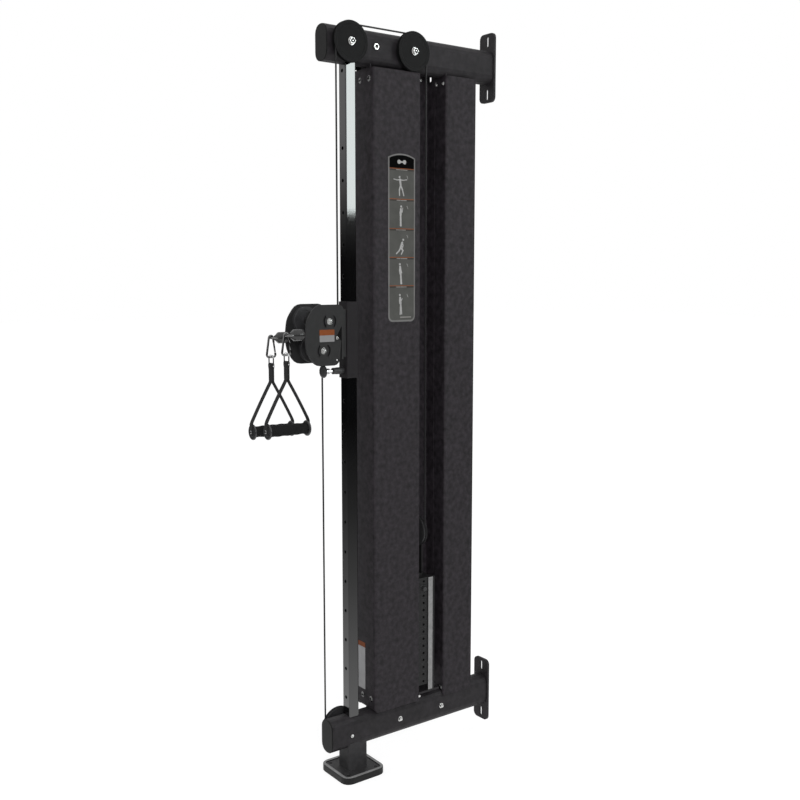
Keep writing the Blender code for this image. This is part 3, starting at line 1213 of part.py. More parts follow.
def main():
    clear_scene()
    paint = finish("black_texture_paint", (0.028, 0.028, 0.030), 0.62)
    gloss = finish("black_gloss_paint", (0.020, 0.020, 0.022), 0.25)
    iron = finish("plate_paint", (0.018, 0.018, 0.019), 0.5)
    steel = finish("zinc_steel", (0.55, 0.55, 0.54), 0.3, 1.0)
    chrome = finish("chrome", (0.75, 0.75, 0.76), 0.12, 1.0)
    rubber = finish("black_rubber", (0.015, 0.015, 0.015), 0.8)
    plastic = finish("black_plastic", (0.016, 0.016, 0.017), 0.4)
    label = finish("label_grey", (0.42, 0.42, 0.42), 0.5)
    cord = finish("cable_jacket", (0.015, 0.015, 0.016), 0.35)
    fabric = finish("strap_webbing", (0.02, 0.02, 0.02), 0.85)
    foam = finish("grip_foam", (0.015, 0.015, 0.015), 0.9)

    make_foot(rubber, paint)
    make_beams(paint, plastic)
    make_post(gloss)
    make_front_shroud(paint)
    make_rear_shroud(paint)
    make_far_cover(paint)

    lift = empty("stack_lift_axis", (0, STACK_LINE_Y, STACK_TOP))
    pin_slide = empty("selector_pin_axis", (0, STACK_LINE_Y, hole_height(PLATE_COUNT - 2)), lift)
    make_stack(iron, rubber, label, chrome, plastic, lift, pin_slide)
    make_yoke(steel, plastic, lift, empty("stack_pulley_axis", (0, STACK_LINE_Y, STACK_PULLEY_Z), lift))

    for name, side, y, z in (("top_front_pulley", 1, FRONT_AXLE_Y, HIGH_AXLE_Z),
                             ("top_rear_pulley", 1, REAR_AXLE_Y, HIGH_AXLE_Z),
                             ("far_rear_pulley", -1, REAR_AXLE_Y, HIGH_AXLE_Z),
                             ("far_middle_pulley", -1, MIDDLE_AXLE_Y, HIGH_AXLE_Z),
                             ("bottom_front_pulley", -1, FRONT_AXLE_Y, LOW_AXLE_Z)):
        side_pulley(name, side, y, z, plastic, empty(f"{name}_axis", (side * CABLE_X, y, z)))
    make_axles(steel)

    slide = empty("carriage_axis", (0, POST_Y, PIN_Z))
    pop = empty("pop_pin_axis", (0, POST_FRONT, PIN_Z), slide)
    make_cables(cord, slide)
    make_sleeve(paint, plastic, slide)
    make_head(paint, slide)
    for name, (side, y, z) in head_axle_places().items():
        make_head_pulley(name, plastic, empty(f"{name}_axis", (side * CABLE_X, y, z), slide))
    make_pop_pin(plastic, chrome, slide, pop)

    for prefix, side, z in (("near", 1, NEAR_END_Z), ("far", -1, FAR_END_Z)):
        x = side * CABLE_X
        pull = empty(f"{prefix}_pull_axis", (x, STOP_REAR, z), slide)
        swing = empty(f"{prefix}_carabiner_axis", (x, EYE_Y, z), pull)
        gate_turn = empty(f"{prefix}_gate_axis", (x, *clip_lines(z)[2]), swing)
        handle = empty(f"{prefix}_handle_axis", (x, EYE_Y, z - CLIP_DROP), swing)
        spin = empty(f"{prefix}_grip_axis", (x, EYE_Y, z - GRIP_DROP), handle)
        make_stop(f"{prefix}_stop", side, z, plastic, pull)
        make_clip(prefix, side, z, steel, chrome, swing, gate_turn)
        make_handle(prefix, side, z, fabric, steel, foam, handle, spin)


main()
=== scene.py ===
"""Looks for a slim wall-mounted cable machine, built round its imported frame. Metres, +Z up."""
from math import asin, atan2, cos, hypot, pi, radians, sin

import bmesh
import bpy
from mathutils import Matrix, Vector


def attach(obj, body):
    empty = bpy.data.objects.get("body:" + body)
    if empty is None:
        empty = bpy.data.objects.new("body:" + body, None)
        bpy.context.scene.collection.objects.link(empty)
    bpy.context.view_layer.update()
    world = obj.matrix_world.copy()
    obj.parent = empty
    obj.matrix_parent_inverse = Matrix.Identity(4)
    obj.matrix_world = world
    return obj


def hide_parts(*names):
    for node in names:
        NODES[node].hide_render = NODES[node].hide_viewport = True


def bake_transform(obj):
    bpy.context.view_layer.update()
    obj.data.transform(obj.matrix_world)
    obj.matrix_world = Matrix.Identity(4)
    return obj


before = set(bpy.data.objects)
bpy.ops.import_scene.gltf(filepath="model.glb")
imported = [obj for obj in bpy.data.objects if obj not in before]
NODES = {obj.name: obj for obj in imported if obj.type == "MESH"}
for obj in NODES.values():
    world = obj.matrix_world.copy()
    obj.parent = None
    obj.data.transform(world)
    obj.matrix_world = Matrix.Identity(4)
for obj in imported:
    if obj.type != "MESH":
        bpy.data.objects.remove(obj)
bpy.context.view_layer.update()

# Sizes and places that the solids have too
GAP, RUN = 0.0003, 0.0006  # between pieces that touch, and between pieces that swing in each other
CABLE_X, CABLE_RADIUS = 0.042, 0.0025
HIGH_AXLE_Z, LOW_AXLE_Z = 2.129, 0.1377
FRONT_AXLE_Y, MIDDLE_AXLE_Y, REAR_AXLE_Y, STACK_LINE_Y = -0.024, 0.070, 0.194, 0.241
PULLEY_RIM, PULLEY_PITCH, PULLEY_HALF = 0.056, 0.047, 0.006
CABLE_FRONT_Y = FRONT_AXLE_Y - PULLEY_PITCH
PIN_Z = 1.22136
HEAD_UPPER_Z, HEAD_LOWER_Z = PIN_Z + 0.1446, PIN_Z + 0.0636
HEAD_PITCH, HEAD_RIM = 0.035, 0.039
DRIVE_Y = CABLE_FRONT_Y - HEAD_PITCH
GUIDE_Y = DRIVE_Y - 0.020
HEAD_SIDE = 0.055
STACK_PULLEY_Z = 0.7117
POST_FACE, SLEEVE_FACE = -0.02355, -0.02755
STOP_REAR, STOP_RADIUS, STOP_LENGTH, STOP_NOSE = -0.1867, 0.016, 0.032, 0.007
EYE_Y = -0.238
CLIP_WIRE, EYE_WIRE, RING_WIRE, GATE_WIRE = 0.003, 0.003, 0.0017, 0.0024
CLIP_HALF, CLIP_CORNER, CLIP_DROP, RING_DROP = 0.0135, 0.007, 0.053, 0.026
GRIP_DROP, SPLIT_DROP = 0.2585, 0.1195
GRIP_HALF, DISC_RADIUS, DISC_THICK = 0.059, 0.0222, 0.005
WEB_THICK, LEG_HALF, CUFF_HALF, CUFF_SIDE = 0.0026, 0.00775, 0.0037, 0.0096
SHROUD_SIDE, SHROUD_FRONT, REAR_SHROUD_FRONT = 0.042, 0.053, 0.325
BEAM_SIDE = 0.029
ENDS = (("near", 1, HEAD_UPPER_Z - HEAD_PITCH, HEAD_UPPER_Z, -90),
        ("far", -1, HEAD_LOWER_Z + HEAD_PITCH, HEAD_LOWER_Z, 90))


# Materials

def fill_ramp(node, stops):
    """Stops of (position, colour), where a plain number is a grey."""
    steps = node.color_ramp.elements
    while len(steps) < len(stops):
        steps.new(0.5)
    for step, (position, colour) in zip(steps, stops):
        step.position = position
        step.color = (*colour, 1.0) if isinstance(colour, tuple) else (colour, colour, colour, 1.0)


class Finish:
    """One procedural material, and short ways to wire it."""

    def __init__(self, name, **fixed):
        self.material = bpy.data.materials.new(name)
        self.material.use_nodes = True
        self.tree = self.material.node_tree
        self.shader = self.tree.nodes["Principled BSDF"]
        self.place = self.new("ShaderNodeTexCoord").outputs["Object"]
        for socket, value in fixed.items():
            self.shader.inputs[socket.replace("_", " ")].default_value = value

    def new(self, kind, links=(), **values):
        made = self.tree.nodes.new(kind)
        for key, value in values.items():
            setattr(made, key, value)
        for socket, source in links:
            if isinstance(source, bpy.types.NodeSocket):
                self.tree.links.new(source, made.inputs[socket])
            else:
                made.inputs[socket].default_value = source
        return made

    def noise(self, scale, detail=3.0, stretch=None):
        place = self.place
        if stretch:
            place = self.new("ShaderNodeMapping", [("Vector", place), ("Scale", stretch)]).outputs["Vector"]
        return self.new("ShaderNodeTexNoise", [("Vector", place), ("Scale", scale), ("Detail", detail),
                                               ("Roughness", 0.55)]).outputs["Fac"]

    def wave(self, scale, place, direction="X"):
        return self.new("ShaderNodeTexWave", [("Vector", place), ("Scale", scale)],
                        bands_direction=direction).outputs["Fac"]

    def mix(self, kind, first, second):
        return self.new("ShaderNodeMath", [(0, first), (1, second)], operation=kind).outputs["Value"]

    def ramp(self, source, *stops):
        made = self.new("ShaderNodeValToRGB", [("Fac", source)])
        fill_ramp(made, stops)
        return made.outputs["Color"]

    def clouds(self, scale, detail, colour, dark, pale):
        """The colour, wandering between a darker and a paler shade of itself."""
        return self.ramp(self.noise(scale, detail), (0.3, tint(colour, dark)), (0.7, tint(colour, pale)))

    def put(self, socket, source):
        self.tree.links.new(source, self.shader.inputs[socket])

    def bump(self, height, strength, distance, under=None):
        links = [("Height", height), ("Strength", strength), ("Distance", distance)]
        if under is not None:
            links.append(("Normal", under))
        return self.new("ShaderNodeBump", links).outputs["Normal"]


def tint(colour, factor):
    return tuple(channel * factor for channel in colour)


def powder(name, colour, spread, rough, mottle, depth):
    """Textured powder coat: soft mottling with a fine orange peel."""
    made = Finish(name, Specular_IOR_Level=0.32)
    cloud = made.noise(mottle, 4.0)
    made.put("Base Color", made.ramp(cloud, (0.30, tint(colour, 1 - spread)), (0.52, colour),
                                     (0.72, tint(colour, 1 + spread))))
    grain = made.noise(900.0, 2.0)
    made.put("Roughness", made.ramp(grain, (0.3, rough - 0.08), (0.7, rough + 0.10)))
    peel = made.bump(grain, depth, 0.0004)
    made.put("Normal", made.bump(cloud, depth * 0.5, 0.0006, peel))
    return made.material


def smooth_paint(name, colour, rough, **fixed):
    """Sprayed paint or bare moulding: faint clouds, a little dust and a very light peel."""
    made = Finish(name, **fixed)
    made.put("Base Color", made.clouds(26.0, 3.0, colour, 0.90, 1.12))
    made.put("Roughness", made.ramp(made.noise(60.0, 4.0), (0.3, rough * 0.85), (0.75, rough * 1.2)))
    made.put("Normal", made.bump(made.noise(420.0, 2.0), 0.06, 0.0003))
    return made.material


def metal(name, colour, rough, scratch=(1.0, 1.0, 1.0)):
    """Bright metal with fine scratches and a slightly uneven polish."""
    made = Finish(name, Metallic=1.0)
    marks = made.noise(700.0, 4.0, scratch)
    made.put("Base Color", made.clouds(90.0, 3.0, colour, 0.86, 1.0))
    made.put("Roughness", made.ramp(marks, (0.3, rough * 0.7), (0.7, rough * 1.5)))
    made.put("Normal", made.bump(marks, 0.08, 0.0001))
    return made.material


def moulded(name, colour, rough, grain=1500.0, depth=0.2, **fixed):
    """Moulded plastic, rubber or foam with a fine grain."""
    made = Finish(name, **fixed)
    fine = made.noise(grain, 2.0)
    made.put("Base Color", made.clouds(70.0, 4.0, colour, 0.82, 1.2))
    made.put("Roughness", made.ramp(fine, (0.3, rough * 0.85), (0.7, min(1.0, rough * 1.15))))
    made.put("Normal", made.bump(fine, depth, 0.0003))
    return made.material


def woven(name, colour, pitch):
    """Webbing: ribs across and along, with fuzz."""
    made = Finish(name, Specular_IOR_Level=0.15, Sheen_Weight=0.04, Sheen_Roughness=0.5)
    ribs = made.mix("MULTIPLY", made.wave(pitch, made.place, "Z"), made.wave(pitch * 1.3, made.place, "X"))
    fuzz = made.noise(900.0, 3.0)
    both = made.mix("ADD", ribs, made.mix("MULTIPLY", fuzz, 0.6))
    made.put("Base Color", made.ramp(both, (0.15, tint(colour, 0.6)), (0.9, tint(colour, 1.35))))
    made.put("Roughness", made.ramp(fuzz, (0.3, 0.75), (0.7, 0.95)))
    made.put("Normal", made.bump(both, 0.5, 0.0004))
    return made.material


def braided(name, colour):
    """Cable jacket with the lay of the rope showing through."""
    made = Finish(name, Specular_IOR_Level=0.25, Coat_Weight=0.12, Coat_Roughness=0.15)
    twist = made.new("ShaderNodeMapping", [("Vector", made.place), ("Rotation", (0.5, 0.4, 0.3))])
    lay = made.wave(160.0, twist.outputs["Vector"])
    made.put("Base Color", made.ramp(lay, (0.2, tint(colour, 0.8)), (0.8, tint(colour, 1.2))))
    made.put("Roughness", made.ramp(made.noise(300.0), (0.3, 0.28), (0.7, 0.42)))
    made.put("Normal", made.bump(lay, 0.25, 0.0003))
    return made.material


def rubber_with_painted_rim_highlight(name, colour, edge, level):
    """Moulded rubber with a painted highlight: a paler top to its rim, found by its height."""
    made = Finish(name, Specular_IOR_Level=0.2)
    fine = made.noise(800.0, 2.0)
    height = made.new("ShaderNodeSeparateXYZ", [(0, made.place)]).outputs["Z"]
    # Painted highlight: the paler colour on the rim's top stands in for light falling on it.
    high = made.ramp(made.mix("MULTIPLY", height, 1 / level), (0.955, 0.0), (0.985, 1.0))
    dark, painted_rim_highlight = made.clouds(70.0, 4.0, colour, 0.82, 1.2), made.clouds(40.0, 3.0, edge, 0.75, 1.1)
    both = made.new("ShaderNodeMix", [(0, high), (6, dark), (7, painted_rim_highlight)], data_type="RGBA")
    made.put("Base Color", both.outputs[2])
    made.put("Roughness", made.ramp(fine, (0.3, 0.36), (0.7, 0.5)))
    made.put("Normal", made.bump(fine, 0.15, 0.0003))
    return made.material


SHROUD = powder("shroud_powder_coat", (0.0158, 0.0132, 0.0160), 0.62, 0.62, 70.0, 0.35)
BEAM = powder("beam_powder_coat", (0.0130, 0.0116, 0.0132), 0.40, 0.58, 55.0, 0.2)
# Painted light: the foot's coat is made paler than the beams' to stand in for the light on the foot plate's
# top.
FOOT = powder("foot_powder_coat", (0.0235, 0.0230, 0.0240), 0.30, 0.58, 60.0, 0.2)
SLEEVE = powder("sleeve_powder_coat", (0.0068, 0.0056, 0.0068), 0.12, 0.58, 60.0, 0.2)
HEAD = powder("head_powder_coat", (0.0140, 0.0140, 0.0142), 0.12, 0.55, 80.0, 0.2)
POST = smooth_paint("post_gloss_black", (0.0022, 0.0022, 0.0024), 0.035, IOR=1.8)
PLATES = powder("plate_satin_paint", (0.0095, 0.0095, 0.0098), 0.15, 0.5, 90.0, 0.15)
ZINC = metal("zinc_plating", (0.72, 0.72, 0.71), 0.22)
CHROME = metal("polished_chrome", (0.82, 0.82, 0.83), 0.10)
ROD = metal("ground_rod_chrome", (0.14, 0.14, 0.145), 0.20, (1.0, 1.0, 12.0))
RUBBER = moulded("black_rubber", (0.020, 0.020, 0.020), 0.42, 800.0, 0.15)
# The pad's paler rim top is a painted highlight.
PAD = rubber_with_painted_rim_highlight("pad_rubber_painted_rim_highlight", (0.009, 0.009, 0.009), (0.20, 0.20, 0.20), 0.021)
PLASTIC = moulded("black_plastic", (0.022, 0.022, 0.023), 0.42)
PULLEY = moulded("pulley_nylon", (0.0042, 0.0042, 0.0043), 0.50, 700.0, 0.12, Specular_IOR_Level=0.14)
CAP = moulded("cap_plastic", (0.0060, 0.0060, 0.0060), 0.45, 1200.0, 0.15, Specular_IOR_Level=0.17)
STOP = moulded("stop_plastic", (0.018, 0.018, 0.018), 0.20, 900.0, 0.05)
DARK_ZINC = metal("dark_zinc", (0.20, 0.20, 0.20), 0.11)
DISC = moulded("disc_plastic", (0.030, 0.030, 0.031), 0.25, 900.0, 0.05)
LABEL = moulded("label_grey", (0.20, 0.20, 0.20), 0.5, 900.0, 0.05)
CABLE = braided("cable_jacket", (0.010, 0.010, 0.0105))
STRAP = woven("strap_webbing", (0.0135, 0.0135, 0.0138), 130.0)
THREAD = moulded("stitch_thread", (0.045, 0.045, 0.045), 0.8)
FOAM = moulded("grip_foam", (0.0075, 0.0075, 0.0078), 0.92, 650.0, 0.9, Specular_IOR_Level=0.2)
CARD = smooth_paint("card_grey", (0.068, 0.069, 0.064), 0.55, Specular_IOR_Level=0.05)
CARD_EDGE = smooth_paint("card_border", (0.135, 0.134, 0.131), 0.5, Specular_IOR_Level=0.1)
CARD_HEAD = smooth_paint("card_black", (0.0012, 0.0012, 0.0012), 0.5, Specular_IOR_Level=0.02)
CARD_INK = smooth_paint("card_pale_ink", (0.30, 0.30, 0.295), 0.5, Specular_IOR_Level=0.1)
TITLE_INK = smooth_paint("card_title_ink", (0.19, 0.185, 0.175), 0.5, Specular_IOR_Level=0.1)
TITLE_BAR = smooth_paint("card_title_bar", (0.038, 0.036, 0.033), 0.5, Specular_IOR_Level=0.1)
ORANGE = smooth_paint("orange_ink", (0.160, 0.043, 0.011), 0.5, Specular_IOR_Level=0.2)
DULL_ORANGE = smooth_paint("orange_line", (0.19, 0.060, 0.022), 0.5, Specular_IOR_Level=0.1)
PALE = smooth_paint("pale_sticker", (0.30, 0.30, 0.305), 0.5, Specular_IOR_Level=0.2)
PALE_SIDE = smooth_paint("pale_side_sticker", (0.190, 0.190, 0.192), 0.5, Specular_IOR_Level=0.2)


# Mesh building

def arc(centre, radius, start, end, steps):
    return [(centre[0] + radius * cos(radians(start + (end - start) * i / steps)),
             centre[1] + radius * sin(radians(start + (end - start) * i / steps))) for i in range(steps + 1)]


def at(axis, u, v, w):
    return Vector({"X": (w, u, v), "Y": (u, w, v), "Z": (u, v, w)}[axis])


def skin(body, rings, closed=False):
    """Faces between rings of points; a closed run joins its last ring to its first."""
    made = [[body.verts.new(point) for point in ring] for ring in rings]
    pairs = list(zip(made, made[1:])) + ([(made[-1], made[0])] if closed else [])
    for one, two in pairs:
        count = len(one)
        for k in range(count):
            body.faces.new((one[k], one[(k + 1) % count], two[(k + 1) % count], two[k]))
    if not closed:
        body.faces.new(made[0][::-1])
        body.faces.new(made[-1])
    return body


def turned(body, axis, centre, profile, sides=48, ring=False):
    """A solid of revolution from (radius, place along the axis) pairs."""
    rings = [[at(axis, centre[0] + r * cos(2 * pi * k / sides), centre[1] + r * sin(2 * pi * k / sides), w)
              for k in range(sides)] for r, w in profile]
    return skin(body, rings, ring)


def sweep(body, points, radius, normal, sides=12, closed=False):
    """A round wire along a line of points that lies in the plane with that normal."""
    across = Vector(normal).normalized()
    count, rings = len(points), []
    for i, point in enumerate(points):
        before = points[(i - 1) % count] if closed else points[max(i - 1, 0)]
        after = points[(i + 1) % count] if closed else points[min(i + 1, count - 1)]
        one, two = (point - before), (after - point)
        one = one.normalized() if one.length > 1e-9 else two.normalized()
        two = two.normalized() if two.length > 1e-9 else one
        along = (one + two).normalized()
        other = along.cross(across).normalized()
        stretch = 1 / max(0.5, along.dot(two))
        rings.append([point + across * radius * cos(2 * pi * k / sides)
                      + other * radius * stretch * sin(2 * pi * k / sides) for k in range(sides)])
    return skin(body, rings, closed)


def prism(body, axis, outline, low, high):
    return skin(body, [[at(axis, u, v, w) for u, v in outline] for w in (low, high)])


def disc(radius, centre, sides, start=0.0):
    return [(centre[0] + radius * cos(2 * pi * (k + start) / sides),
             centre[1] + radius * sin(2 * pi * (k + start) / sides)) for k in range(sides)]


def add(name, data):
    made = bpy.data.objects.new(name, data)
    bpy.context.scene.collection.objects.link(made)
    return made


def add_mesh(name, build, material):
    mesh = bpy.data.meshes.new(name)
    build.to_mesh(mesh)
    build.free()
    mesh.materials.append(material)
    return add(name, mesh)


def piece(name, build, material, carrier, stands_for=None, bevel=0.0, sharp=35, blend=None):
    """A finished mesh that rides on a body, or, when given a blend, stays where it was built, unattached."""
    bmesh.ops.recalc_face_normals(build, faces=build.faces)
    made = add_mesh(name, build, material)
    made.data.shade_smooth()
    made.data.set_sharp_from_angle(angle=radians(sharp))
    if bevel:
        soften(made, bevel)
    if blend:
        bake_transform(made)
    else:
        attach(made, carrier)
    if stands_for:
        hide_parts(stands_for)
    return made


def soften(made, width):
    edge = made.modifiers.new("edge", "BEVEL")
    edge.width, edge.segments, edge.limit_method = width, 2, "ANGLE"
    edge.angle_limit = radians(38)
    edge.harden_normals = True
    edge.use_clamp_overlap = True


def dress(material, width, *names):
    """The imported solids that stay: joined faces, softened edges and a material."""
    for name in names:
        made = NODES[name]
        made.data.materials.clear()
        made.data.materials.append(material)
        if width:
            join = made.modifiers.new("join", "WELD")
            join.merge_threshold = 0.00002
            flat = made.modifiers.new("flat", "DECIMATE")
            flat.decimate_type, flat.angle_limit = "DISSOLVE", radians(0.6)
            soften(made, width)


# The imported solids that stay

dress(BEAM, 0.0012, "bottom_beam", "top_beam")
dress(FOOT, 0.0015, "foot_stand")
dress(SHROUD, 0.0006, "front_shroud", "rear_shroud", "far_side_cover")
dress(HEAD, 0.0007, "pulley_head")
dress(SLEEVE, 0.0007, "carriage_sleeve")
dress(POST, 0.0005, "front_post")
dress(PLATES, 0.0006, "resting_plates", "selected_plate", "top_plate_and_stem")
dress(PLATES, 0.0005, "stack_yoke")
dress(PLATES, 0.0004, "label_rail")
dress(ZINC, 0.0005, "top_front_axle", "top_rear_axle", "far_middle_axle", "bottom_front_axle")
dress(ROD, 0.0, "front_guide_rod", "rear_guide_rod")
dress(PAD, 0.0016, "foot_pad")
dress(RUBBER, 0.0008, "stack_cushion")
dress(CAP, 0.0008, "bottom_end_cap", "top_end_cap")
dress(PLASTIC, 0.0003, "sleeve_liner", "selector_pin")


# Fasteners

def washer(body, axis, centre, face, way, radius, thick, edge, sides):
    """A washer on a face, with its rim broken; gives back where its own face is."""
    top = face + way * thick
    profile = [(radius, face), (radius, face + way * thick * 0.6), (radius - edge, top)]
    turned(body, axis, centre, profile, sides)
    return top


def hex_bolt(body, axis, centre, face, way, flat, head, rim):
    """A hexagon head with a rounded crown on a washer; flat is its width and rim is the washer's radius."""
    base = washer(body, axis, centre, face, way, rim, 0.0012, 0.0005, 32)
    corner = flat / 3 ** 0.5
    rings = [(corner, 0.0), (corner, 0.72), (corner * 0.93, 0.90), (corner * 0.80, 1.0)]
    skin(body, [[at(axis, u, v, base + way * head * part) for u, v in disc(radius, centre, 6, 0.25)]
                for radius, part in rings])
    crown = [(corner * r, base + way * head * part) for r, part in ((0.55, 0.98), (0.5, 1.04), (0.25, 1.09))]
    turned(body, axis, centre, crown, 16)


def socket_screw(body, axis, centre, face, way, radius, head, rim):
    """A domed screw head with a round recess on a washer."""
    base = washer(body, axis, centre, face, way, rim, 0.001, 0.0004, 28)
    dome = [(radius * cos(radians(a)), base + way * head * sin(radians(a))) for a in (0, 18, 36, 52, 66)]
    dome += [(radius * 0.40, base + way * head * 0.92), (radius * 0.36, base + way * head * 0.35)]
    turned(body, axis, centre, dome, 24)


# Radius or width of the head, its height, and the washer's radius
SHROUD_SCREW, SMALL_SCREW = (0.0062, 0.0032, 0.0082), (0.0045, 0.0028, 0.0062)
PLUG_SCREW = (0.004, 0.0026, 0.0055)
BRACKET_BOLT, FOOT_BOLT = (0.0075, 0.009, 0.0052), (0.0105, 0.005, 0.0082)
AXLE_BOLT, GUSSET_BOLT = (0.0100, 0.0050, 0.0090), (0.0055, 0.004, 0.0042)
BRACKET_REAR = 0.2185
AXLE_HEAD_FACE, MIDDLE_HEAD_FACE, PAINTED_SHADE_THICK = 0.0566, 0.0371, 0.0005

bolts = bmesh.new()
for x in (-0.022, 0.022):
    for z in (2.0425, 0.221):
        socket_screw(bolts, "Y", (x, z), SHROUD_FRONT, -1, *SHROUD_SCREW)
for x in (-0.019, 0.019):
    socket_screw(bolts, "Y", (x, 0.190), REAR_SHROUD_FRONT, -1, *SHROUD_SCREW)
piece("front_screws", bolts, DARK_ZINC, "frame")

bolts = bmesh.new()
for x in (-0.016, 0.016):
    socket_screw(bolts, "Y", (x, 2.058), REAR_SHROUD_FRONT, -1, *SMALL_SCREW)
for x in (-0.036, 0.036):
    for z in (2.053, 0.1913):
        hex_bolt(bolts, "Y", (x, z), BRACKET_REAR, 1, *BRACKET_BOLT)
for y in (0.157, 0.320):
    hex_bolt(bolts, "X", (y, 0.1325), BEAM_SIDE, 1, *FOOT_BOLT)
socket_screw(bolts, "X", (-0.021, 0.126), BEAM_SIDE, 1, *PLUG_SCREW)
piece("frame_bolts", bolts, ZINC, "frame")

# Painted shade: black rings on the axle nuts' faces and a black disc on the middle bolt's head stand in for
# the shade between nut and stud and in the socket.
painted_shade_rings = bmesh.new()
for y in (FRONT_AXLE_Y, REAR_AXLE_Y):
    low, high = AXLE_HEAD_FACE, AXLE_HEAD_FACE + PAINTED_SHADE_THICK
    turned(painted_shade_rings, "X", (y, HIGH_AXLE_Z), [(0.0019, low), (0.0066, low), (0.0066, high), (0.0019, high)], 24,
           ring=True)
turned(painted_shade_rings, "X", (MIDDLE_AXLE_Y, HIGH_AXLE_Z),
       [(0.0048, MIDDLE_HEAD_FACE), (0.0048, MIDDLE_HEAD_FACE + PAINTED_SHADE_THICK)], 20)
piece("axle_painted_shade_rings", painted_shade_rings, CARD_HEAD, "frame")

bolts = bmesh.new()
for side, upper_y, lower_y in ((-1, GUIDE_Y, DRIVE_Y), (1, DRIVE_Y, GUIDE_Y)):
    for y, z in ((upper_y, HEAD_UPPER_Z), (lower_y, HEAD_LOWER_Z)):
        hex_bolt(bolts, "X", (y, z), side * HEAD_SIDE, side, *AXLE_BOLT)
    hex_bolt(bolts, "X", (-0.0815, PIN_Z + 0.0979), side * HEAD_SIDE, side, *GUSSET_BOLT)
piece("head_bolts", bolts, ZINC, "carriage")


# Pulleys

AXLE_BORE, STUB_BORE = 0.0063, 0.0053


# The paler black plastic that pulleys take by default is painted light: the head, stack and bottom pulleys
# stand in shade, and it makes them paler than the dark nylon of the top pulleys.
def pulley(name, carrier, axis, centre, middle, rim, pitch, bore, material=PLASTIC):
    """A grooved wheel; its middle is its place along the axis, and its pitch is the cable's radius."""
    half, hub = PULLEY_HALF, bore + 0.0065
    floor = pitch - CABLE_RADIUS - RUN
    groove = [(rim - 0.0008, half), (rim, half - 0.0009), (rim - 0.0003, half - 0.0015),
              (floor + (rim - floor) * 0.35, CABLE_RADIUS + 0.0013),
              (floor, CABLE_RADIUS * 0.55), (floor, -CABLE_RADIUS * 0.55)]
    groove += [(r, -w) for r, w in groove[3::-1]]
    face = [(bore, -half), (hub, -half), (hub + 0.0006, -half + 0.0006), (rim - 0.0105, -half + 0.0006),
            (rim - 0.0095, -half)]
    profile = face + [(r, w) for r, w in reversed(groove)] + [(r, -w) for r, w in reversed(face)]
    build = turned(bmesh.new(), axis, centre, [(r, middle + w) for r, w in profile], 72, ring=True)
    piece(name + "_turned", build, material, carrier, name, sharp=30)


# The bottom pulley's paler black plastic is a painted highlight.
BEAM_PULLEYS = (("top_front_pulley", 1, FRONT_AXLE_Y, HIGH_AXLE_Z, PULLEY),
                ("top_rear_pulley", 1, REAR_AXLE_Y, HIGH_AXLE_Z, PULLEY),
                ("far_rear_pulley", -1, REAR_AXLE_Y, HIGH_AXLE_Z, PULLEY),
                ("far_middle_pulley", -1, MIDDLE_AXLE_Y, HIGH_AXLE_Z, PULLEY),
                ("bottom_front_pulley", -1, FRONT_AXLE_Y, LOW_AXLE_Z, PLASTIC))
HEAD_PULLEYS = (("near_upper_pulley", 1, DRIVE_Y, HEAD_UPPER_Z),
                ("near_lower_pulley", 1, GUIDE_Y, HEAD_LOWER_Z),
                ("far_upper_pulley", -1, GUIDE_Y, HEAD_UPPER_Z),
                ("far_lower_pulley", -1, DRIVE_Y, HEAD_LOWER_Z))
for name, side, y, z, material in BEAM_PULLEYS:
    pulley(name, name + "_body", "X", (y, z), side * CABLE_X, PULLEY_RIM, PULLEY_PITCH, AXLE_BORE, material)
for name, side, y, z in HEAD_PULLEYS:
    pulley(name, name + "_body", "X", (y, z), side * CABLE_X, HEAD_RIM, HEAD_PITCH, STUB_BORE)
# The stack pulley's paler black plastic is painted light for the shade it stands in.
pulley("stack_pulley", "floating_pulley", "Y", (0, STACK_PULLEY_Z), STACK_LINE_Y, CABLE_X + 0.006, CABLE_X,
       STUB_BORE)


# Cable, in one piece for each stretch

def turn(y, z, radius, start, end):
    """The cable's bend round a pulley, in steps of about five degrees."""
    return arc((y, z), radius, start, end, max(2, round(abs(end - start) / 5)))


def cable(name, points, carrier, stands_for, normal=(1, 0, 0), blend=None):
    build = sweep(bmesh.new(), points, CABLE_RADIUS, normal, 12)
    piece(name, build, CABLE, carrier, stands_for, blend=blend, sharp=60)


def upright(side, points):
    return [Vector((side * CABLE_X, y, z)) for y, z in points]


line = turn(FRONT_AXLE_Y, HIGH_AXLE_Z, PULLEY_PITCH, 180, 90)
line += turn(REAR_AXLE_Y, HIGH_AXLE_Z, PULLEY_PITCH, 90, 0)
cable("near_cable_over_top", upright(1, line), "frame", "cable_near_top")
line = turn(REAR_AXLE_Y, HIGH_AXLE_Z, PULLEY_PITCH, 0, 90)
line += turn(MIDDLE_AXLE_Y, HIGH_AXLE_Z, PULLEY_PITCH, 90, 180)
line += turn(FRONT_AXLE_Y, LOW_AXLE_Z, PULLEY_PITCH, 0, -180)
cable("far_cable_round", upright(-1, line), "frame", "cable_far_route")
top, low = (CABLE_X, CABLE_FRONT_Y, HIGH_AXLE_Z), (CABLE_X, CABLE_FRONT_Y, HEAD_UPPER_Z)
cable("near_cable_run", [Vector(low), Vector(top)], "carriage", "cable_near_run", blend=("frame", low, top))
top, low = (-CABLE_X, CABLE_FRONT_Y, HEAD_LOWER_Z), (-CABLE_X, CABLE_FRONT_Y, LOW_AXLE_Z)
cable("far_cable_run", [Vector(low), Vector(top)], "frame", "cable_far_run", blend=("carriage", low, top))
line = [(CABLE_X, HIGH_AXLE_Z)] + arc((0, STACK_PULLEY_Z), CABLE_X, 0, -180, 36) + [(-CABLE_X, HIGH_AXLE_Z)]
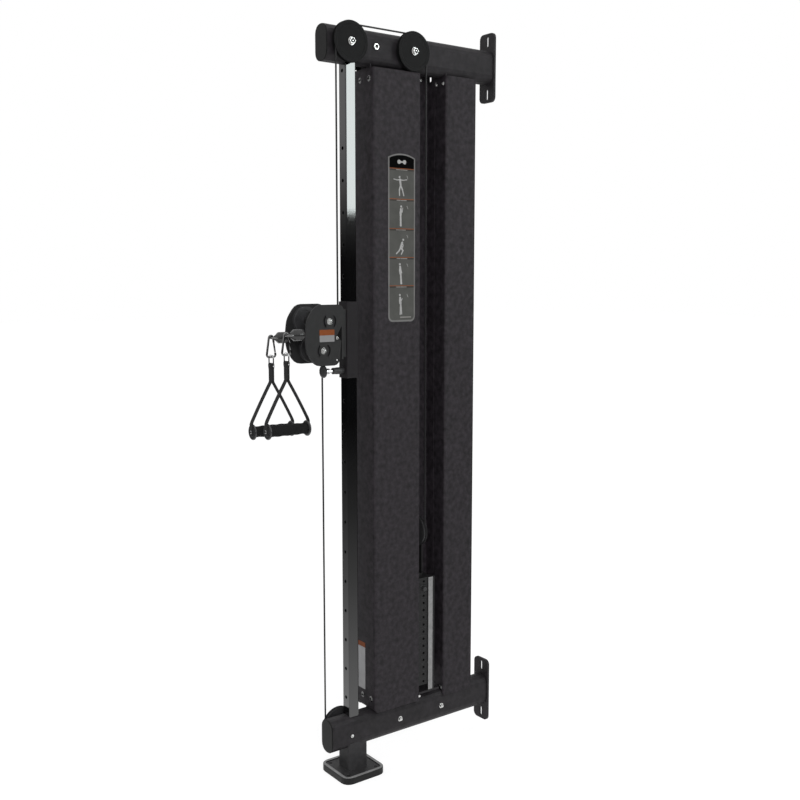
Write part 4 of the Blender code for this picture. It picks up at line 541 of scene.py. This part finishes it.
cable("stack_cable", [Vector((x, STACK_LINE_Y, z)) for x, z in line], "stack", "cable_stack_fall", (0, 1, 0),
      ("frame", (0, STACK_LINE_Y, STACK_PULLEY_Z), (0, STACK_LINE_Y, HIGH_AXLE_Z)))
for prefix, side, level, z, way in ENDS:
    line = turn(DRIVE_Y, z, HEAD_PITCH, 0, way) + [(STOP_REAR, level)]
    cable(prefix + "_cable_tail", upright(side, line), "carriage", f"cable_{prefix}_tail",
          blend=(prefix + "_end", (side * CABLE_X, DRIVE_Y, level), (side * CABLE_X, STOP_REAR, level)))


# Spring pin

SHAFT_RADIUS, BARREL_RADIUS, NECK_RADIUS, KNOB_RADIUS, FLUTE = 0.0047, 0.0095, 0.0085, 0.0180, 0.0005
DRAW, CAP_WALL, COLLAR = 0.012, 0.003, 0.003
SPRING_WIRE, SPRING_RADIUS, SPRING_TURNS, TURN_STEPS = 0.0006, 0.00625, 4, 20

rear = SLEEVE_FACE - GAP
front = rear - 0.035
barrel = [(0.005, front), (BARREL_RADIUS - 0.001, front), (BARREL_RADIUS, front + 0.001),
          (BARREL_RADIUS, front + 0.012), (0.0100, front + 0.0125), (0.0100, rear - 0.006), (0.0100, rear),
          (0.005, rear), (0.005, rear - CAP_WALL), (0.0078, rear - CAP_WALL), (0.0078, front + CAP_WALL),
          (0.005, front + CAP_WALL)]
piece("pin_barrel", turned(bmesh.new(), "Y", (0, PIN_Z), barrel, 40, ring=True), PLASTIC, "carriage",
      "pop_pin_housing")

neck_rear = front - DRAW - GAP
neck_front = neck_rear - 0.015
collar_rear = rear - CAP_WALL - DRAW - 0.004
collar_front = collar_rear - COLLAR
shaft = [(NECK_RADIUS, neck_front + w) for w in (0.0, 0.0060)]
shaft += [(NECK_RADIUS - 0.0013, neck_front + w) for w in (0.0068, 0.0086)]
shaft += [(NECK_RADIUS, neck_front + 0.0094), (NECK_RADIUS, neck_rear - 0.0005),
          (NECK_RADIUS - 0.0005, neck_rear), (SHAFT_RADIUS, neck_rear), (SHAFT_RADIUS, collar_front),
          (0.0074, collar_front), (0.0074, collar_rear), (SHAFT_RADIUS, collar_rear),
          (SHAFT_RADIUS, POST_FACE - 0.0015), (SHAFT_RADIUS - 0.001, POST_FACE - 0.0005)]
piece("pin_shaft", turned(bmesh.new(), "Y", (0, PIN_Z), shaft, 40), CHROME, "locking_pin",
      "pop_pin_plunger", sharp=30)

knob_front, sides, rings = neck_front - 0.0085, 72, []
for part, w in ((0.55, 0.0001), (0.76, 0.0006), (0.90, 0.0015), (0.97, 0.0025), (1.0, 0.0036), (1.0, 0.0060),
                (0.97, 0.0072), (0.90, 0.0080), (0.80, 0.0084)):
    radii = [KNOB_RADIUS * part - FLUTE * (part > 0.87 and k % 6 < 2) for k in range(sides)]
    rings.append([Vector((r * cos(2 * pi * k / sides), knob_front + w, PIN_Z + r * sin(2 * pi * k / sides)))
                  for k, r in enumerate(radii)])
piece("pin_knob", skin(bmesh.new(), rings), PLASTIC, "locking_pin")

low, high = front + CAP_WALL + GAP + SPRING_WIRE, collar_front - GAP - SPRING_WIRE
coil, steps = [], SPRING_TURNS * TURN_STEPS
for i in range(steps + 1):
    a, y = 2 * pi * i / TURN_STEPS, low + (high - low) * i / steps
    coil.append(Vector((SPRING_RADIUS * cos(a), y, PIN_Z + SPRING_RADIUS * sin(a))))
piece("pin_spring", sweep(bmesh.new(), coil, SPRING_WIRE, (0, 1, 0), 6), CHROME, "carriage",
      "pop_pin_spring", blend=("locking_pin", (0, low, PIN_Z), (0, high, PIN_Z)), sharp=60)


# Cable ends, carabiners and rings

GATE_TOP, GATE_LOW = 0.30, 0.86  # where the gate starts and ends along the rear leg, as parts of it


def clip_lines(z):
    """Centre lines of a carabiner that hangs from an eye: its open body, and the ends of its gate."""
    radius = EYE_WIRE + RUN + CLIP_WIRE
    low, inset = z - CLIP_DROP, CLIP_HALF - CLIP_CORNER
    lean = atan2(CLIP_HALF - radius, CLIP_DROP - CLIP_CORNER) * 180 / pi
    rear_top = arc((EYE_Y, z), radius, lean, lean, 1)[0]
    front_corner = arc((EYE_Y - inset, low + CLIP_CORNER), CLIP_CORNER, 180 - lean, 270, 10)
    rear_corner = arc((EYE_Y + inset, low + CLIP_CORNER), CLIP_CORNER, 270, 360 + lean, 10)
    rear_low = rear_corner[-1]

    def leg(part):
        return tuple(a + (b - a) * part for a, b in zip(rear_top, rear_low))

    length = hypot(rear_low[0] - rear_top[0], rear_low[1] - rear_top[1])
    body = ([leg(GATE_TOP)] + arc((EYE_Y, z), radius, lean, 180 - lean, 20) + front_corner + rear_corner
            + [leg(GATE_LOW + (GATE_WIRE + GAP) / length)])
    return body, leg(GATE_TOP + GAP / length), leg(GATE_LOW)


def ring_line(x, top, low):
    """A triangular ring with a flat foot: wide bends above, tight ones below."""
    half, wide, tight = 0.0122, 0.008, 0.0025
    return (arc((x + half - wide, top - wide), wide, 0, 90, 8)
            + arc((x - half + wide, top - wide), wide, 90, 180, 8)
            + arc((x - half + tight, low + tight), tight, 180, 270, 4)
            + arc((x + half - tight, low + tight), tight, 270, 360, 4))


def wire(points, radius, normal, sides, closed=False):
    return sweep(bmesh.new(), [Vector(point) for point in points], radius, normal, sides, closed)


for prefix, side, z, _, _ in ENDS:
    x, r = side * CABLE_X, STOP_RADIUS
    front = STOP_REAR - STOP_LENGTH
    profile = [(0.0035, STOP_REAR), (r - 0.004, STOP_REAR), (r - 0.0012, STOP_REAR - 0.001),
               (r, STOP_REAR - 0.0035), (r, STOP_REAR - 0.010), (r - 0.0008, STOP_REAR - 0.0108),
               (r - 0.0008, STOP_REAR - 0.0120), (r, STOP_REAR - 0.0128), (r, front + 0.0055),
               (r - 0.0006, front + 0.0042), (r - 0.0046, front), (r - 0.0088, front - STOP_NOSE + 0.0008),
               (r - 0.0100, front - STOP_NOSE)]
    stop = turned(bmesh.new(), "Y", (x, z), profile, 48)
    piece(prefix + "_ball_stop", stop, STOP, prefix + "_end", prefix + "_stop", sharp=30)
    start = front - 0.0015
    line = ([(x - 0.008, start)] + arc((x - 0.003, EYE_Y + 0.005), 0.005, 180, 270, 8)
            + arc((x + 0.003, EYE_Y + 0.005), 0.005, 270, 360, 8) + [(x + 0.008, start)])
    eye = wire([(u, v, z) for u, v in line], EYE_WIRE, (0, 0, 1), 14)
    piece(prefix + "_eye", eye, DARK_ZINC, prefix + "_end", sharp=60)

    line, gate_top, hinge = clip_lines(z)
    body = wire([(x, u, v) for u, v in line], CLIP_WIRE, (1, 0, 0), 14)
    piece(prefix + "_clip_body", body, DARK_ZINC, prefix + "_clip", prefix + "_carabiner",
          sharp=60)
    start, end = Vector((x, *gate_top)), Vector((x, *hinge))
    along, length = (end - start).normalized(), (end - start).length
    across = Vector((1, 0, 0))
    other = along.cross(across)
    shape = [(0.6, 0.0), (0.92, 0.0004), (1.0, 0.0010), (1.0, length), (0.87, length + GATE_WIRE * 0.5),
             (0.5, length + GATE_WIRE * 0.87), (0.1, length + GATE_WIRE * 0.99)]
    rings = [[start + along * s + across * (GATE_WIRE * u) + other * (GATE_WIRE * v)
              for u, v in disc(r, (0, 0), 20)] for r, s in shape]
    piece(prefix + "_clip_gate_pin", skin(bmesh.new(), rings), DARK_ZINC, prefix + "_clip_gate",
          prefix + "_gate", sharp=40)

    clip_low = z - CLIP_DROP
    line = ring_line(x, clip_low + CLIP_WIRE + RUN + RING_WIRE, clip_low - RING_DROP)
    ring = wire([(u, EYE_Y, v) for u, v in line], RING_WIRE, (0, 1, 0), 12, closed=True)
    piece(prefix + "_strap_ring", ring, CHROME, prefix + "_clip_ring", prefix + "_ring",
          sharp=60)


# Handles: webbing, stitches, discs, rod and foam

LEG_Y, LEG_BOW, LEG_STEPS = 0.0019, 0.0012, 20
LOOP_RADIUS = 0.0049
STITCH_LONG, STITCH_THIN, STITCH_HIGH = 0.0012, 0.00032, 0.0003
BORE, RIVET_RADIUS, ROD_RADIUS = 0.0033, 0.0055, 0.0030


def ribbon(build, path, half_width, half_thick, x):
    """A flat strap along a line in the YZ plane, with rounded edges."""
    rings = []
    for i, (y, z) in enumerate(path):
        before, after = path[max(i - 1, 0)], path[min(i + 1, len(path) - 1)]
        along = Vector((after[0] - before[0], after[1] - before[1])).normalized()
        flat = Vector((-along[1], along[0]))
        ring = []
        for k in range(20):
            a = 2 * pi * (k + 0.5) / 20
            u = half_width * max(-1, min(1, 1.35 * cos(a))) - (0.0004 * cos(a) if abs(cos(a)) > 0.75 else 0)
            w = half_thick * max(-1, min(1, 1.8 * sin(a)))
            ring.append(Vector((x + u, y + flat[0] * w, z + flat[1] * w)))
        rings.append(ring)
    return skin(build, rings)


for prefix, side, z, _, _ in ENDS:
    x = side * CABLE_X
    ring_z, grip_z, split = z - CLIP_DROP - RING_DROP, z - GRIP_DROP, z - SPLIT_DROP
    carrier = prefix + "_handle"
    out = GRIP_HALF + DISC_THICK + 3 * GAP + WEB_THICK / 2
    bend = grip_z + DISC_RADIUS + 0.0016
    straps = bmesh.new()
    for way in (-1, 1):
        path = [(LEG_Y, split + 0.012), (LEG_Y, split + 0.002)]
        for i in range(1, LEG_STEPS):
            part = i / LEG_STEPS
            y = LEG_Y + (out - LEG_Y) * part + LEG_BOW * sin(pi * part)
            path.append((y, split + (bend - split) * part))
        path += [(out, bend - 0.002), (out, grip_z), (out, grip_z - 0.0075), (out, grip_z - 0.0098)]
        ribbon(straps, [(EYE_Y + way * u, v) for u, v in path], LEG_HALF, WEB_THICK / 2, x)
    piece(prefix + "_strap_legs", straps, STRAP, carrier, prefix + "_strap", sharp=50)

    cuff = arc((EYE_Y, ring_z), LOOP_RADIUS, 196, 180, 2)
    cuff += arc((EYE_Y, ring_z + 0.0052), LOOP_RADIUS, 180, 0, 20)
    cuff += arc((EYE_Y, ring_z), LOOP_RADIUS, 0, -16, 2)
    edge = [(CUFF_HALF, ring_z - 0.008), (CUFF_HALF, split + 0.001), (0.0028, split)]
    cuff += [(EYE_Y + u, v) for u, v in edge] + [(EYE_Y - u, v) for u, v in edge[::-1]]
    piece(prefix + "_strap_cuff", prism(bmesh.new(), "X", cuff, x - CUFF_SIDE, x + CUFF_SIDE), STRAP, carrier,
          bevel=0.0007, sharp=30)

    thread = bmesh.new()
    outline = disc(1.0, (0, 0), 8, 0.5)
    spots = [(u, ring_z - 0.011 - 0.0036 * k, STITCH_THIN, STITCH_LONG)
             for u in (-0.0068, 0.0068) for k in range(8)]
    spots += [(u * 0.0034, ring_z - 0.0095 - 0.0290 * k, STITCH_LONG, STITCH_THIN)
              for u in (-1.5, -0.5, 0.5, 1.5) for k in range(2)]
    for face in (-1, 1):
        y = EYE_Y + face * (CUFF_HALF + 0.00005)
        for u, v, wide, tall in spots:
            prism(thread, "Y", [(x + u + wide * a, v + tall * b) for a, b in outline],
                  *sorted((y, y + face * STITCH_HIGH)))
    piece(prefix + "_stitches", thread, THREAD, carrier, sharp=50)

    inner, outer = GRIP_HALF + GAP, GRIP_HALF + GAP + DISC_THICK
    seat = outer + 3 * GAP + WEB_THICK
    rivet = [(0.0018, 0.0024), (0.0036, 0.0020), (0.0050, 0.0011), (RIVET_RADIUS, 0.0003),
             (RIVET_RADIUS, 0.0), (ROD_RADIUS, 0.0)]
    half = [(r, -seat - w) for r, w in rivet]
    line = half + [(ROD_RADIUS, 0.0)] + [(r, -w) for r, w in reversed(half)]
    core = turned(bmesh.new(), "Y", (x, grip_z), [(r, EYE_Y + w) for r, w in line], 32)
    piece(prefix + "_handle_rod", core, DARK_ZINC, carrier, prefix + "_handle_core", sharp=40)
    plate = [(0.0032, inner), (0.0178, inner), (0.0210, inner + 0.0004), (0.0220, inner + 0.0013),
             (DISC_RADIUS, inner + 0.0024), (0.0220, inner + 0.0036), (0.0211, inner + 0.0046),
             (0.0192, outer), (0.0176, outer - 0.0004), (0.0090, outer - 0.0004), (0.0082, outer),
             (0.0032, outer)]
    discs = bmesh.new()
    for way in (-1, 1):
        turned(discs, "Y", (x, grip_z), [(r, EYE_Y + way * w) for r, w in plate], 56, ring=True)
    piece(prefix + "_handle_discs", discs, DISC, carrier, sharp=40)

    reach, steps = GRIP_HALF - GAP, 60
    rings = [(BORE, -reach)]
    for i in range(steps + 1):
        t = -1 + 2 * i / steps
        swell = 0.0153 + 0.0006 * cos(t * 4 * pi) + 0.0003 * (1 - t * t)
        edge = 1 - max(0.0, abs(t) - 0.96) * 3.0
        rings.append((swell * edge, reach * t))
    rings.append((BORE, reach))
    grip = turned(bmesh.new(), "Y", (x, grip_z), [(r, EYE_Y + w) for r, w in rings], 40, ring=True)
    made = piece(prefix + "_foam_grip", grip, FOAM, prefix + "_roller", prefix + "_grip",
                 sharp=60)


# Placard, strip and sticker

def rounded(y0, y1, z0, z1, low, high, steps=8):
    """A plate outline with its own corner radii below and above."""
    return (arc((y1 - low, z0 + low), low, 270, 360, steps)
            + arc((y1 - high, z1 - high), high, 0, 90, steps)
            + arc((y0 + high, z1 - high), high, 90, 180, steps)
            + arc((y0 + low, z0 + low), low, 180, 270, steps))


def layer(name, outlines, material, carrier, axis, low, high, rise=0.0):
    """Flat marks of one colour; the rise sets marks that overlap at heights of their own."""
    build = bmesh.new()
    for number, outline in enumerate(outlines):
        prism(build, axis, outline, low, high + rise * number)
    piece(name, build, material, carrier, sharp=40)


rail = [(0.2573, 0.2055), (0.2738, 0.2055), (0.2738, 0.5668), (0.2573, 0.5668)]
layer("number_label", [rail], LABEL, "frame", "X", 0.0404, 0.0407)

CARD_Y, CARD_Z, CARD_SHOULDER, CARD_EDGE_WIDTH = (0.104, 0.2005), (1.358, 1.840), 1.8285, 0.0042
PANEL_Z = (1.797, 1.7106, 1.6262, 1.5441, 1.462, 1.366)
face = SHROUD_SIDE + 0.0001


def arched(inset, low, shoulder, low_radius):
    """The placard's outline drawn in by a margin: rounded below, a flat arch above."""
    y0, y1 = CARD_Y[0] + inset, CARD_Y[1] - inset
    half, rise = (y1 - y0) / 2, CARD_Z[1] - inset - shoulder
    radius = (half * half + rise * rise) / (2 * rise)
    spread = asin(half / radius) * 180 / pi
    crown = arc(((y0 + y1) / 2, CARD_Z[1] - inset - radius), radius, 90 - spread, 90 + spread, 14)
    return (arc((y1 - low_radius, low + low_radius), low_radius, 270, 360, 8) + crown
            + arc((y0 + low_radius, low + low_radius), low_radius, 180, 270, 8))


layer("placard", [arched(0.0, CARD_Z[0], CARD_SHOULDER, 0.016)], CARD_EDGE, "frame", "X", face, face + 0.0007)
y0, y1 = CARD_Y[0] + CARD_EDGE_WIDTH, CARD_Y[1] - CARD_EDGE_WIDTH
field = rounded(y0, y1, CARD_Z[0] + 0.0052, PANEL_Z[0], 0.012, 0.0005)
layer("placard_field", [field], CARD, "frame", "X", face + 0.0007, face + 0.0009)
crown = arched(CARD_EDGE_WIDTH, PANEL_Z[0], CARD_SHOULDER - 0.002, 0.0005)
layer("placard_crown", [crown], CARD_HEAD, "frame", "X", face + 0.0007, face + 0.0009)
bars = [rounded(y0 - 0.001, y1 + 0.001, z - 0.0003, z + 0.0015, 0.0003, 0.0003, 1) for z in PANEL_Z[:-1]]
layer("placard_lines", bars, DULL_ORANGE, "frame", "X", face + 0.0009, face + 0.0011)
bars = [rounded(y0, y1, z - 0.0052, z - 0.0003, 0.0003, 0.0003, 1) for z in PANEL_Z[:-1]]
layer("placard_title_bars", bars, TITLE_BAR, "frame", "X", face + 0.0009, face + 0.0010)
titles = []
for number, z in enumerate(PANEL_Z[:-1]):
    start, end = 0.152 - 0.021 + 0.002 * (number % 2), 0.152 + 0.021 - 0.003 * (number % 3)
    cuts = [start, start + (end - start) * (0.36 + 0.07 * (number % 3)), end]
    for left, right in zip(cuts, cuts[1:]):
        titles.append(rounded(left + 0.0006, right - 0.0006, z - 0.0040, z - 0.0018, 0.0005, 0.0005, 2))
titles.append(rounded(0.146, 0.186, 1.3695, 1.3728, 0.0008, 0.0008, 2))
layer("placard_titles", titles, TITLE_INK, "frame", "X", face + 0.0010, face + 0.00115)


def stroke(a, b, width):
    """A straight bar with rounded ends between two points."""
    lean = atan2(b[1] - a[1], b[0] - a[0]) * 180 / pi
    return arc(b, width, lean - 90, lean + 90, 6) + arc(a, width, lean + 90, lean + 270, 6)


# Plain stick figures, a joint to a point: hip, neck, head, then two arms and two legs
FIGURES = (((0, 0), (-2, 14), (-4, 21), (-14, 13, -26, 15), (9, 13, 24, 15), (-5, -14, -4, -28),
            (7, -13, 12, -28)),
           ((0, 0), (1, 16), (2, 23), (6, 8, 8, 19), (-3, 7, -2, -2), (-1, -14, -1, -29), (1, -14, 2, -29)),
           ((0, -10), (6, 4), (10, 12), (10, -3, 6, -12), (3, -2, 8, -10), (9, -17, 3, -27),
            (-6, -18, -16, -26)),
           ((0, 0), (-2, 16), (-3, 23), (-5, 7, -3, -4), (1, 8, 5, -1), (2, -14, 4, -30), (0, -14, 1, -30)),
           ((0, 0), (-2, 15), (-3, 23), (3, 8, 6, 13), (-5, 8, -4, -1), (-1, -14, -2, -30), (2, -14, 4, -29)))
marks = []
for number, (hip, neck, head, *limbs) in enumerate(FIGURES):
    y0, z0 = 0.148, (PANEL_Z[number] + PANEL_Z[number + 1]) / 2 - 0.0025

    def spot(u, v):
        return (y0 + u * 0.00095, z0 + v * 0.00106)

    marks += [disc(0.0032, spot(*head), 14), stroke(spot(*hip), spot(*neck), 0.0034)]
    for i, (u1, v1, u2, v2) in enumerate(limbs):
        root = neck if i < 2 else hip
        width = 0.0014 if i < 2 else 0.0023
        marks += [stroke(spot(*root), spot(u1, v1), width), stroke(spot(u1, v1), spot(u2, v2), width * 0.8)]
    marks.append(stroke(spot(28, 17), spot(24, 25), 0.0005))
layer("placard_marks", marks, CARD_INK, "frame", "X", face + 0.0009, face + 0.00100, 0.000004)
icon = [disc(0.0062, (0.1425, 1.8165), 18), disc(0.0062, (0.1620, 1.8165), 18),
        rounded(0.1425, 0.1620, 1.8145, 1.8185, 0.0003, 0.0003, 1)]
layer("placard_icon", icon, CARD_INK, "frame", "X", face + 0.0009, face + 0.00105, 0.00002)

face, x0, x1 = SHROUD_FRONT - 0.0001, -0.045, -0.009
field = rounded(x0, x1, 0.240, 0.372, 0.002, 0.0004, 4)
band = rounded(x0, x1, 0.3722, 0.387, 0.0004, 0.002, 4)
layer("strip_field", [field], PALE, "frame", "Y", face - 0.0004, face)
layer("strip_band", [band], ORANGE, "frame", "Y", face - 0.0004, face)
face, y0, y1 = HEAD_SIDE + 0.0001, -0.1398, -0.0912
field = rounded(y0, y1, 1.3096, 1.3278, 0.0015, 0.0003, 4)
band = rounded(y0, y1, 1.3280, 1.3434, 0.0003, 0.0015, 4)
layer("sticker_field", [field], PALE_SIDE, "carriage", "X", face, face + 0.0004)
layer("sticker_band", [band], ORANGE, "carriage", "X", face, face + 0.0004)


# Floor, lights and camera

def stage_floor():
    build = bmesh.new()
    prism(build, "Z", rounded(-30, 30, -30, 30, 4, 4), -0.02, 0.0)
    paper = bpy.data.materials.new("floor_paper")
    paper.use_nodes = True
    nodes, links = paper.node_tree.nodes, paper.node_tree.links
    out = nodes["Material Output"]
    nodes.remove(nodes["Principled BSDF"])
    matt = nodes.new("ShaderNodeBsdfDiffuse")
    matt.inputs["Color"].default_value = (0.30, 0.30, 0.30, 1)
    glow = nodes.new("ShaderNodeEmission")
    path = nodes.new("ShaderNodeLightPath")
    strength = nodes.new("ShaderNodeMath")
    strength.operation = "MULTIPLY_ADD"
    links.new(path.outputs["Is Camera Ray"], strength.inputs[0])
    strength.inputs[1].default_value = 0.65
    strength.inputs[2].default_value = 0.10
    links.new(strength.outputs["Value"], glow.inputs["Strength"])
    both = nodes.new("ShaderNodeAddShader")
    links.new(matt.outputs["BSDF"], both.inputs[0])
    links.new(glow.outputs["Emission"], both.inputs[1])
    links.new(both.outputs["Shader"], out.inputs["Surface"])
    made = add_mesh("floor", build, paper)
    made.visible_glossy = False


def soft_world():
    """White behind the object, a plain soft light on it, and a studio with a dark middle in its gloss."""
    world = bpy.data.worlds.new("studio")
    bpy.context.scene.world = world
    world.use_nodes = True
    nodes, links = world.node_tree.nodes, world.node_tree.links
    back = nodes["Background"]
    path = nodes.new("ShaderNodeLightPath")
    place = nodes.new("ShaderNodeTexCoord")
    parts = nodes.new("ShaderNodeSeparateXYZ")
    links.new(place.outputs["Generated"], parts.inputs[0])
    half = nodes.new("ShaderNodeMath")
    half.operation = "MULTIPLY_ADD"
    half.inputs[1].default_value = half.inputs[2].default_value = 0.5
    links.new(parts.outputs["Z"], half.inputs[0])
    levels = ((-0.90, 1.1), (-0.403, 1.12), (-0.357, 0.84), (-0.294, 0.43), (-0.227, 0.17), (-0.158, 0.03),
              (-0.140, 0.008), (0.016, 0.010), (0.033, 0.07), (0.051, 0.17), (0.068, 0.28), (0.101, 0.58),
              (0.134, 0.78), (0.30, 0.85), (0.80, 1.0))
    studio, soft = nodes.new("ShaderNodeValToRGB"), nodes.new("ShaderNodeValToRGB")
    fill_ramp(studio, [((height + 1) / 2, level) for height, level in levels])
    fill_ramp(soft, ((0.30, (0.30, 0.30, 0.305)), (0.95, (1.05, 1.05, 1.06))))
    for ramp in (studio, soft):
        links.new(half.outputs["Value"], ramp.inputs["Fac"])
    gloss = nodes.new("ShaderNodeMix")
    gloss.data_type = "RGBA"
    links.new(path.outputs["Is Glossy Ray"], gloss.inputs["Factor"])
    links.new(soft.outputs["Color"], gloss.inputs[6])
    links.new(studio.outputs["Color"], gloss.inputs[7])
    seen = nodes.new("ShaderNodeMix")
    seen.data_type = "RGBA"
    links.new(path.outputs["Is Camera Ray"], seen.inputs["Factor"])
    links.new(gloss.outputs[2], seen.inputs[6])
    seen.inputs[7].default_value = (1, 1, 1, 1)
    links.new(seen.outputs[2], back.inputs["Color"])


def strip_light():
    """A tall narrow light that only gloss sees: the pale streak on the upper part of the post."""
    build = bmesh.new()
    distance, way = 6.0, Vector((2.43, 1.655, 0)).normalized()
    middle = Vector((0.0157, -0.006, 0)) + way * distance
    across = way.cross(Vector((0, 0, 1)))
    low, high = 2.022, 3.60
    corners = [middle + across * s * 0.55 + Vector((0, 0, h)) for s, h in
               ((-1, low), (1, low), (1, high), (-1, high))]
    build.faces.new([build.verts.new(c) for c in corners])
    lamp = bpy.data.materials.new("strip_light")
    lamp.use_nodes = True
    nodes, links = lamp.node_tree.nodes, lamp.node_tree.links
    nodes.remove(nodes["Principled BSDF"])
    glow = nodes.new("ShaderNodeEmission")
    glow.inputs["Color"].default_value = (0.93, 1.0, 0.99, 1)
    glow.inputs["Strength"].default_value = 8.5
    links.new(glow.outputs["Emission"], nodes["Material Output"].inputs["Surface"])
    made = add_mesh("strip_light", build, lamp)
    made.visible_camera = made.visible_diffuse = made.visible_shadow = False
    made.visible_transmission = made.visible_volume_scatter = False


def soft_lamp(name, place, aim, size, power):
    data = bpy.data.lights.new(name, "AREA")
    data.size, data.energy = size, power
    made = add(name, data)
    made.location = place
    made.rotation_euler = (Vector(aim) - Vector(place)).to_track_quat("-Z", "Y").to_euler()
    made.visible_glossy = False


def photo_camera():
    turn_by, dip = radians(53.314), radians(6.981)
    data = bpy.data.cameras.new("camera")
    data.sensor_width, data.lens = 36.0, 1021.957 / 800 * 36.0
    made = add("camera", data)
    made.location = (2.4472, -1.6454, 1.4942)
    ahead = Vector((-sin(turn_by) * cos(dip), cos(turn_by) * cos(dip), -sin(dip)))
    made.rotation_euler = ahead.to_track_quat("-Z", "Y").to_euler()
    bpy.context.scene.camera = made


stage_floor()
soft_world()
strip_light()
soft_lamp("front_fill", (6.0, -3.1, 2.9), (0, 0.15, 1.0), 2.5, 325)
photo_camera()
bpy.context.scene.view_settings.view_transform = "Standard"
